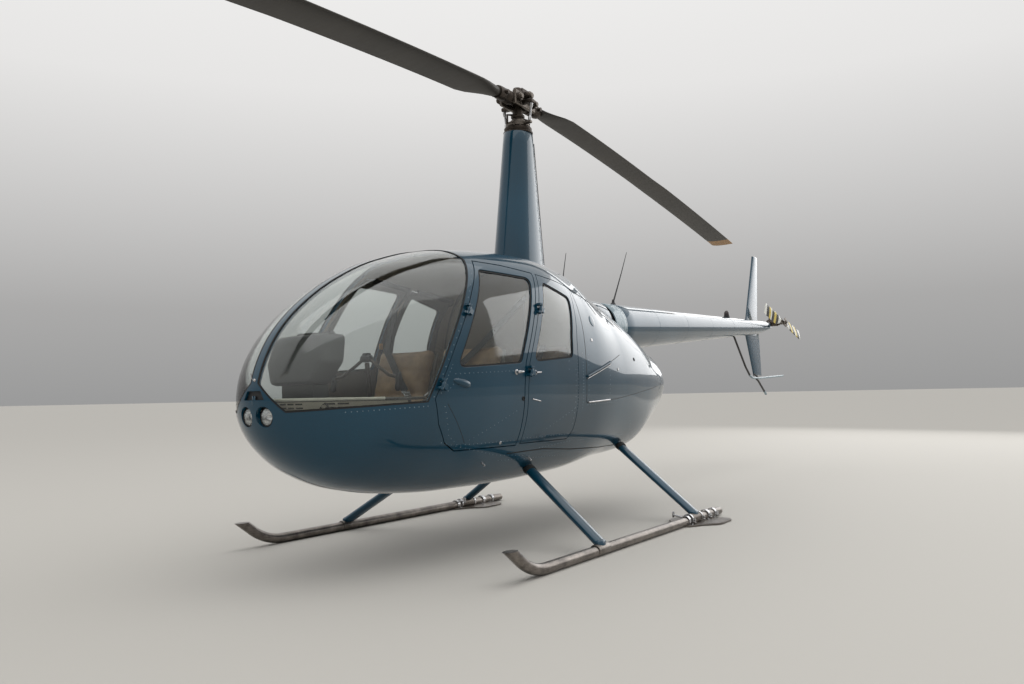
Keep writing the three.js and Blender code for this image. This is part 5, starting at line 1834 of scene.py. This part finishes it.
def controls():
    """The centre stick with its swinging bar and two grips, pedals, and a lever by each seat."""
    shape = Shape()
    shape.put(turned([(0, FLOOR_Z), (0.050, FLOOR_Z), (0.044, 0.540), (0.030, 0.556), (0.020, 0.580),
                      (0, 0.580)], (1.56, 0, 0), UP, 24), 1)
    shape.put(tube(rounded_path([(1.56, 0, 0.54), (1.59, 0, 0.80), (1.640, 0, 1.16)], 0.15), 0.014, 16))
    shape.put(turned([(0, -0.034), (0.020, -0.034), (0.023, -0.01), (0.023, 0.01), (0.020, 0.034),
                      (0, 0.034)], (1.642, 0, 1.185), LEFT, 20), 1)
    shape.put(block((1.625, -0.022, 1.195), (1.660, 0.022, 1.218), 0.005), 1)
    half_bar = [(1.642, 0.02, 1.185), (1.645, 0.075, 1.150), (1.650, 0.180, 1.085), (1.650, 0.255, 1.070)]
    grip = [(0, -0.02), (0.012, -0.02), (0.016, 0), (0.018, 0.02), (0.016, 0.04), (0.0185, 0.06),
            (0.017, 0.078), (0.010, 0.088), (0, 0.090)]
    for side in (1, -1):
        shape.put(tube(rounded_path([(x, y * side, z) for x, y, z in half_bar], 0.05), 0.010, 14))
        shape.put(turned(grip, (1.650, 0.255 * side, 1.080), (0.1, 0, -1), 18), 1)
        # pedals in the nose
        for y in (0.12 * side, 0.25 * side):
            shape.put(tube([(1.90, y, FLOOR_Z + 0.004), (1.92, y, 0.66)], 0.009, 10))
            shape.put(block((1.900, y - 0.045, 0.655), (1.932, y + 0.045, 0.675), 0.004), 1)
    # the small guarded knob on the right door post
    shape.put(block((0.862, -0.604, 1.292), (0.894, -0.588, 1.334), 0.004), 2)
    # collective levers at the left of each seat
    for y in (0.522, -0.028):
        shape.put(fitted(tube([(1.16, y, 0.70), (1.42, y, 0.80)], 0.011, 12), 0.035))
        shape.put(tube([(1.38, y, 0.778), (1.50, y, 0.843)], 0.017, 14), 1)
    shape.piece("stick_and_pedals", "airframe", [DARK_STEEL, BLACK, TIP], "black_plastic", ["control_stick"])


def cabin_carpet():
    """Carpet on the floor, cut to stay clear of the skin."""
    shape = Shape()
    outline = []
    for x in np.linspace(0.172, 2.148, 30):
        half = 0.0
        for y in np.linspace(0.02, 0.66, 65):
            if level(np.array([[x, y, 0.500]]))[0] < -0.055:
                half = y
        outline.append((x, half))
    outline = [p for p in outline if p[1] > 0.05]
    whole = outline + [(x, -y) for x, y in outline[::-1]]
    shape.put(slab(whole, 0.5002, FLOOR_Z - 0.0005, 2))
    shape.piece("cabin_carpet", "airframe", [CARPET], "lining", ["cabin_floor"])


def rear_cabin_wall():
    """The lined wall behind the rear bench."""
    wall = Shape()
    x, count = 0.150, 40
    ring = [Vector(p) for p in on_section(np.full(count, x), np.linspace(-math.pi / 2, math.pi / 2, count))]
    middle = Vector((x, 0, 1.10))
    left = [middle + (p - middle) * 0.945 for p in ring]
    around = [(p.y, p.z) for p in left] + [(-p.y, p.z) for p in left[::-1][1:-1]]
    wall.put(slab(around, 0.1385, 0.1655, 0))
    wall.piece("rear_cabin_wall", "airframe", [LINING], "lining", ["firewall"])


def build_cabin():
    """Everything seen through the glass."""
    seats()
    belts()
    console()
    dash()
    controls()
    cabin_carpet()
    rear_cabin_wall()


build_cabin()


# Seams, rivets and small fittings on the skin
def skin_band(line, width, lift, side):
    """A thin band along a line of (x, z) on the skin, standing lift above it."""
    path = [spot(x, z) for x, z in dense(line, 0.012, False)]
    buried = 0.002
    rings = []
    for i, (p, n) in enumerate(path):
        way = (path[min(i + 1, len(path) - 1)][0] - path[max(i - 1, 0)][0]).normalized()
        cross = way.cross(n).normalized() * (width / 2)
        rings.append([p + cross - n * buried, p + cross * 0.9 + n * lift, p - cross * 0.9 + n * lift,
                      p - cross - n * buried])
    return beside(rings_joined(rings), side)


SEAM_SHADOW_LINES = [  # dark bands of painted shadow along the panel gaps: width, height above the skin, and the line in mm
    (0.010, 0.0010, [(172, 1686), (-250, 1600), (-555, 1537), (-760, 1440)]),
    (0.0045, 0.0006, [(172, 1690), (172, 1400), (172, 1000), (172, 900)]),
    (0.0035, 0.0006, [(172, 900), (-306, 916), (-789, 962), (-1328, 1010)]),
    (0.008, 0.0010, [(973, 600), (582, 606), (200, 580), (-350, 560), (-700, 556)]),
    (0.004, 0.0006, [(-419, 1241), (-204, 1182)]),
    (0.003, 0.0005, [(1600, 915), (1460, 740), (1420, 690)])]


def seams():
    """Dark bands along the panel joints: painted shadow standing for the gaps between the panels."""
    shape = Shape()
    for side in (1, -1):
        for width, lift, line in SEAM_SHADOW_LINES:
            shape.put(skin_band(metres(line), width, lift, side))
    shape.piece("painted_seam_shadows", "airframe", [RUBBER], "lining")


RIVET_ROWS = {
    "airframe": [
        (0.020, [(0.290, 1.245), (0.288, 0.848)]), (0.020, [(0.216, 1.233), (0.217, 0.860)]),
        (0.034, [(0.139, 1.222), (0.144, 0.879)]), (0.030, [(-0.185, 1.152), (-0.174, 0.922)]),
        (0.034, [(0.632, 0.615), (0.268, 0.640)]), (0.034, [(0.150, 0.640), (-0.620, 0.640)]),
        (0.034, [(-0.263, 0.904), (-0.789, 0.952), (-1.261, 0.996)]),
        (0.034, [(0.150, 1.665), (-0.540, 1.510)]),
        (0.030, [(-0.627, 0.765), (-0.732, 0.676)]), (0.030, [(1.740, 0.905), (2.200, 0.885)]),
        (0.040, [(1.600, 0.700), (1.100, 0.600), (0.700, 0.570)]), (0.034, [(0.150, 0.880), (-0.250, 0.893)]),
        (0.030, [(-1.330, 1.320), (-1.400, 1.210), (-1.720, 1.130)]),
        (0.034, [(1.020, 0.560), (0.250, 0.545)]),
        (0.045, [(1.700, 0.955), (1.552, 1.230), (1.365, 1.550), (1.240, 1.745)])],
    "front": [
        (0.034, [(1.386, 0.705), (1.000, 0.860)]), (0.022, [(1.650, 0.975), (1.560, 1.130)]),
        (0.026, [(1.600, 0.985), (1.520, 1.055)]), (0.034, [(1.540, 1.080), (0.970, 1.105)]),
        (0.034, [(1.620, 0.900), (1.560, 0.735), (1.470, 0.680), (0.960, 0.680)])],
    "rear": [
        (0.034, [(0.860, 0.690), (0.380, 0.690)]), (0.034, [(0.632, 0.740), (0.320, 0.860)]),
        (0.034, [(0.318, 0.760), (0.318, 1.120)]), (0.045, [(0.404, 1.175), (0.406, 1.120)])],
}


def rivet_tree():
    """Rivets spaced along every line of a mesh, standing on the direction stored with its points."""
    tree = bpy.data.node_groups.new("rivet_rows", "GeometryNodeTree")
    tree.interface.new_socket("Geometry", in_out="INPUT", socket_type="NodeSocketGeometry")
    sockets = {}
    for name, value in (("Spacing", 0.03), ("Head Radius", 0.003), ("Head Height", 0.0012),
                        ("Shade Seed", 7)):
        kind = "NodeSocketInt" if name == "Shade Seed" else "NodeSocketFloat"
        sockets[name] = tree.interface.new_socket(name, in_out="INPUT", socket_type=kind)
        sockets[name].default_value = value
    tree.interface.new_socket("Geometry", in_out="OUTPUT", socket_type="NodeSocketGeometry")
    given = add(tree, "NodeGroupInput").outputs
    lines = add(tree, "GeometryNodeMeshToCurve", {"Mesh": given["Geometry"]})
    spaced = add(tree, "GeometryNodeResampleCurve", {
        "Curve": lines.outputs["Curve"], "Length": given["Spacing"]}, mode="LENGTH")
    facing = add(tree, "GeometryNodeInputNamedAttribute", {"Name": "facing"}, data_type="FLOAT_VECTOR")
    turn = add(tree, "FunctionNodeAlignRotationToVector", {"Vector": facing.outputs["Attribute"]}, axis="Z")
    dome = add(tree, "GeometryNodeMeshUVSphere", {"Segments": 10, "Rings": 6, "Radius": given["Head Radius"]})
    flat = add(tree, "ShaderNodeMath", {0: given["Head Height"], 1: given["Head Radius"]}, operation="DIVIDE")
    size = add(tree, "ShaderNodeCombineXYZ", {"X": 1.0, "Y": 1.0, "Z": flat.outputs[0]})
    squashed = add(tree, "GeometryNodeTransform", {
        "Geometry": dome.outputs["Mesh"], "Scale": size.outputs[0]})
    odd = add(tree, "FunctionNodeRandomValue", {"Seed": given["Shade Seed"]}, data_type="FLOAT")
    odd.inputs[2].default_value = 0.88
    odd.inputs[3].default_value = 1.12
    heads = add(tree, "GeometryNodeInstanceOnPoints", {
        "Points": spaced.outputs["Curve"], "Instance": squashed.outputs["Geometry"],
        "Rotation": turn.outputs["Rotation"], "Scale": odd.outputs[1]})
    real = add(tree, "GeometryNodeRealizeInstances", {"Geometry": heads.outputs["Instances"]})
    painted = add(tree, "GeometryNodeSetMaterial", {"Geometry": real.outputs["Geometry"], "Material": GLINTING_RIVET_PAINT})
    add(tree, "NodeGroupOutput", {"Geometry": painted.outputs["Geometry"]})
    return tree, sockets


def rivets(name, body, rows, radius, height):
    """All rivets of one body as one mesh, made by Geometry Nodes from rows of (spacing, line)."""
    gathered = Shape()
    for spacing in sorted({own for own, _ in rows}):
        points, facings, edges = [], [], []
        for line in [line for own, line in rows if own == spacing]:
            first = len(points)
            points += [tuple(p) for p, _ in line]
            facings += [n for _, n in line]
            edges += [(i, i + 1) for i in range(first, len(points) - 1)]
        mesh = bpy.data.meshes.new("rivet_lines")
        mesh.from_pydata(points, edges, [])
        stored = mesh.attributes.new("facing", "FLOAT_VECTOR", "POINT")
        stored.data.foreach_set("vector", [c for n in facings for c in n])
        thing = linked("rivet_lines", mesh)
        tree, sockets = rivet_tree()
        nodes = thing.modifiers.new("rivets", "NODES")
        nodes.node_group = tree
        for key, value in (("Spacing", spacing), ("Head Radius", radius), ("Head Height", height)):
            nodes[sockets[key].identifier] = value
        made = applied(thing)
        bpy.data.objects.remove(thing)
        gathered.put(([v.co.copy() for v in made.vertices], [list(f.vertices) for f in made.polygons]))
    gathered.piece(name, body, [GLINTING_RIVET_PAINT], "paint", sharp=60)


def skin_row(line, side):
    """A line on the skin as places and the directions outwards, for rivets."""
    return [spot(x, z, 0.0002, side) for x, z in dense(line, 0.02, False)]


def boom_row(x, behind=0.0):
    """A closed ring of places and directions round the boom, a little behind x."""
    ring = [Vector(p) for p in boom_ring(x - behind, 0.0006)]
    middle = Vector((ring[0].x, 0, boom_height(x)))
    return [(p, (p - middle).normalized()) for p in ring + ring[:1]]


def fairing_row(side):
    """An upright line of places and directions near the mast fairing's rear edge."""
    line = []
    for k in range(30):
        ring = fairing_ring(1.96 + 0.90 * k / 29, 0.0004)
        p = ring[21]
        n = (ring[22] - ring[20]).cross(Vector(UP)).normalized()
        line.append((Vector((p.x, p.y * side, p.z)), Vector((n.x, n.y * side, 0))))
    return line


def build_rivets():
    """Rivet rows on the doors, the cowls, the boom and the mast fairing."""
    rows = [(spacing, skin_row(line, side)) for side in (1, -1) for spacing, line in RIVET_ROWS["airframe"]]
    rows += [(0.030, boom_row(x)) for x in (-1.155, -1.325)]
    rows += [(0.030, boom_row(x, 0.012)) for x in BOOM_JOINTS]
    rows += [(0.075, fairing_row(side)) for side in (1, -1)]
    rivets("airframe_rivets", "airframe", rows, 0.0030, 0.0012)
    for side, name in ((1, "left"), (-1, "right")):
        for which in ("front", "rear"):
            rows = [(spacing, skin_row(line, side)) for spacing, line in RIVET_ROWS[which]]
            rivets(f"{which}_door_rivets_{name}", f"{which}_{name}_door", rows, 0.0028, 0.0010)


FRONT_HINGE = [Vector((1.657, 0.583, 1.020)), Vector((1.415, 0.583, 1.450))]
REAR_HINGE = [Vector((0.881, 0.655, 1.100)), Vector((0.738, 0.638, 1.500))]
COWL_BARS = (  # from, to, radius and finish
    ((0.168, 1.077), (-0.198, 1.181), 0.0065, 0), ((0.168, 1.060), (-0.190, 1.163), 0.0035, 1),
    ((0.150, 0.899), (-0.164, 0.912), 0.0055, 1))
COWL_CAPS = (  # x, z, radius and finish
    (-0.02, 1.470, 0.040, 0), (-0.330, 1.130, 0.012, 1), (0.060, 1.330, 0.012, 1),
    (-0.720, 1.215, 0.014, 2), (1.093, 0.672, 0.011, 1))


def knuckle(low, high, edge):
    """A hinge's knuckle about its pin, with softened ends."""
    return turned([(0, low), (0.0095, low), (0.0098, low + edge), (0.0098, high - edge), (0.0095, high),
                   (0, high)], ORIGIN, UP, 18)


def hinge(line, at, side):
    """A door hinge as (the door's leaf, the post's leaf): knuckles on one pin and flat leaves."""
    low, high = line
    way = (high - low).normalized()
    out = (Vector((0, 1, 0)) - way * way.y).normalized()
    forward = out.cross(way)
    turn = Matrix((forward, out, way)).transposed().to_4x4()
    turn.translation = low.lerp(high, at)
    half = 0.0168
    door = [knuckle(-half, half, 0.0008),
            block((-0.040, -0.012, -half), (-0.002, 0.0055, half), 0.0015),
            block((-0.037, -0.026, -0.0165), (-0.016, -0.008, 0.0165), 0.0015)]
    post = []
    for z0, z1 in ((0.0178, 0.0335), (-0.0335, -0.0178)):
        post.append(knuckle(z0, z1, 0.001))
        post.append(block((0.002, -0.035, z0), (0.017, 0.0055, z1), 0.0012))
    return [[beside(placed(part, turn), side) for part in group] for group in (door, post)]


def blister(side):
    """The long teardrop bulge on a front door."""
    a, n0 = spot(1.563, 1.046, 0.0, side)
    b, n1 = spot(1.425, 1.016, 0.0, side)
    way = (b - a).normalized()
    rings = []
    for k in range(13):
        t = k / 12
        centre, out = a.lerp(b, t), n0.lerp(n1, t).normalized()
        fat = 0.022 * math.sqrt(max(0.0, 1 - (2 * (1 - t) ** 0.75 - 1) ** 2)) + 0.0004
        cross = way.cross(out).normalized()
        rings.append([centre + cross * (fat * math.cos(j * math.tau / 16))
                      + out * (fat * 0.75 * math.sin(j * math.tau / 16) - 0.002) for j in range(16)])
    return rings_joined(rings)


def front_door_fittings(leaf, side):
    """A front door's latch handle with its rose, the blister and the round lock."""
    p, n = spot(1.008, 1.095, 0.0, side)
    end, _ = spot(0.960, 1.098, 0.0, side)
    leaf.put(tube([p - n * 0.004, p + n * 0.016, p.lerp(end, 0.3) + n * 0.022, end + n * 0.018],
                  [0.010, 0.010, 0.008, 0.006], 14), 1)
    leaf.put(turned([(0, -0.003), (0.017, -0.003), (0.016, 0.002), (0.012, 0.004), (0, 0.004)], p, n, 24), 1)
    leaf.put(blister(side))
    p, n = spot(0.940, 0.934, 0.0, side)
    leaf.put(turned([(0, -0.002), (0.014, -0.002), (0.014, 0.002), (0.011, 0.004), (0.009, 0.001),
                     (0, 0.001)], p, n, 22), 2)


def rear_door_fittings(leaf, side):
    """A rear door's latch handle and the bar below it."""
    p, n = spot(0.815, 1.094, 0.0, side)
    leaf.put(turned([(0, -0.003), (0.015, -0.003), (0.015, 0.003), (0.011, 0.006), (0, 0.006)], p, n, 22), 1)
    end, _ = spot(0.765, 1.096, 0.0, side)
    leaf.put(tube([p + n * 0.010, end + n * 0.012], [0.0065, 0.005], 12), 1)
    p, n = spot(0.845, 0.930, 0.0, side)
    end, _ = spot(0.754, 0.916, 0.0, side)
    leaf.put(tube([p + n * 0.001, end + n * 0.001], 0.0035, 8), 1)


def cowl_fittings(shape, side):
    """Bars, caps, vents and small pegs on one side of the body."""
    for (x0, z0), (x1, z1), radius, number in COWL_BARS:
        path = [spot(x0 + (x1 - x0) * k / 10, z0 + (z1 - z0) * k / 10, 0.004 + radius * 0.6, side)[0]
                for k in range(11)]
        shape.put(tube(path, radius, 12), number)
        for end in (path[0], path[-1]):
            n = spot(end.x, end.z, 0, side)[1]
            shape.put(tube([end - n * (0.008 + radius), end], radius * 1.1, 10), number)
    for x, z, radius, number in COWL_CAPS:
        p, n = spot(x, z, 0.0, side)
        shape.put(turned([(0, -0.003), (radius, -0.003), (radius, 0.0015), (radius * 0.8, 0.004),
                          (radius * 0.3, 0.0042), (0, 0.0042)], p, n, 28), number)
    for x in (1.18, 0.70):
        p, n = spot(x, 0.560, 0.0, side)
        shape.put(tube([p - n * 0.01, p + n * 0.03], 0.006, 10), 1)


def fittings():
    """Hinges, handles and the small fittings on the doors and the body's sides."""
    fixed = Shape()
    for side, name in ((1, "left"), (-1, "right")):
        for which, line, own_fittings in (("front", FRONT_HINGE, front_door_fittings),
                                          ("rear", REAR_HINGE, rear_door_fittings)):
            leaf = Shape()
            for at in (0, 1):
                door, post = hinge(line, at, side)
                for part in door:
                    leaf.put(part)
                for part in post:
                    fixed.put(part)
            own_fittings(leaf, side)
            leaf.piece(f"{which}_door_fittings_{name}", f"{which}_{name}_door", [PAINT, BRIGHT, RUBBER],
                       "steel")
        cowl_fittings(fixed, side)
    fixed.piece("side_fittings", "airframe", [PAINT, BRIGHT, RUBBER], "steel")


def build_details():
    """Seams, rivets and fittings."""
    seams()
    build_rivets()
    fittings()


build_details()


# Camera, floor and light
def aim_camera():
    """The photograph's viewpoint: ahead of the left front corner, about a metre above the ground."""
    yaw, pitch, roll = map(math.radians, (214.35, 3.573, -1.07))
    forward = Vector((math.cos(yaw) * math.cos(pitch), math.sin(yaw) * math.cos(pitch), math.sin(pitch)))
    level_right = Vector((math.sin(yaw), -math.cos(yaw), 0))
    level_up = level_right.cross(forward)
    right = math.cos(roll) * level_right + math.sin(roll) * level_up
    up = math.cos(roll) * level_up - math.sin(roll) * level_right
    data = bpy.data.cameras.new("photo_camera")
    data.sensor_width = 36.0
    data.lens = 30.0
    place = Matrix((right, up, -forward)).transposed().to_4x4()
    place.translation = (5.28 + MAST_X, 3.517, 0.955)
    camera = linked("photo_camera", data)
    camera.matrix_world = place
    bpy.context.scene.camera = camera


def softbox(name, place, aim, size, power):
    """A large soft studio lamp."""
    data = bpy.data.lights.new(name, "AREA")
    data.shape = "RECTANGLE"
    data.size, data.size_y = size
    data.energy = power
    lamp = linked(name, data)
    lamp.visible_camera = False
    lamp.location = place
    lamp.rotation_euler = (Vector(aim) - Vector(place)).to_track_quat("-Z", "Y").to_euler()


def studio_floor():
    """A pale matt floor that reaches to the horizon."""
    reach = 600
    mesh = bpy.data.meshes.new("studio_floor")
    corners = [(-reach, -reach, 0), (reach, -reach, 0), (reach, reach, 0), (-reach, reach, 0)]
    mesh.from_pydata(corners, [], [(0, 1, 2, 3)])
    floor = linked("studio_floor", mesh)
    mesh.materials.append(finish("pale_studio_floor", "#b7b4ae", 0.8)[0])


def studio_room():
    """A plain room that is brighter overhead."""
    world = bpy.data.worlds.new("studio_room")
    bpy.context.scene.world = world
    world.use_nodes = True
    tree = world.node_tree
    way = add(tree, "ShaderNodeTexCoord").outputs["Generated"]
    height = add(tree, "ShaderNodeSeparateXYZ", {"Vector": way}).outputs["Z"]
    sky = add(tree, "ShaderNodeValToRGB", {"Fac": height})
    elements = sky.color_ramp.elements
    elements[0].position = 0.0
    elements[0].color = (0.37, 0.37, 0.37, 1)
    elements[1].position = 0.90
    elements[1].color = (1.28, 1.28, 1.27, 1)
    for place, grey in ((0.10, 0.46), (0.34, 0.90)):
        between = elements.new(place)
        between.color = (grey, grey * 0.99, grey * 0.98, 1)
    background = tree.nodes["Background"]
    tree.links.new(sky.outputs["Color"], background.inputs["Color"])
    background.inputs["Strength"].default_value = 0.88


def studio():
    """The floor, the room and two large soft lamps."""
    studio_floor()
    studio_room()
    softbox("overhead_softbox", (1.0, 2.0, 9.0), (0.0, 0.0, 1.0), (12.0, 7.0), 200)
    softbox("rear_left_softbox", (-12.7, 4.2, 5.6), (0.8, 0.0, 1.3), (17.0, 6.8), 620)
    bpy.context.scene.view_settings.view_transform = "Standard"


aim_camera()
studio()
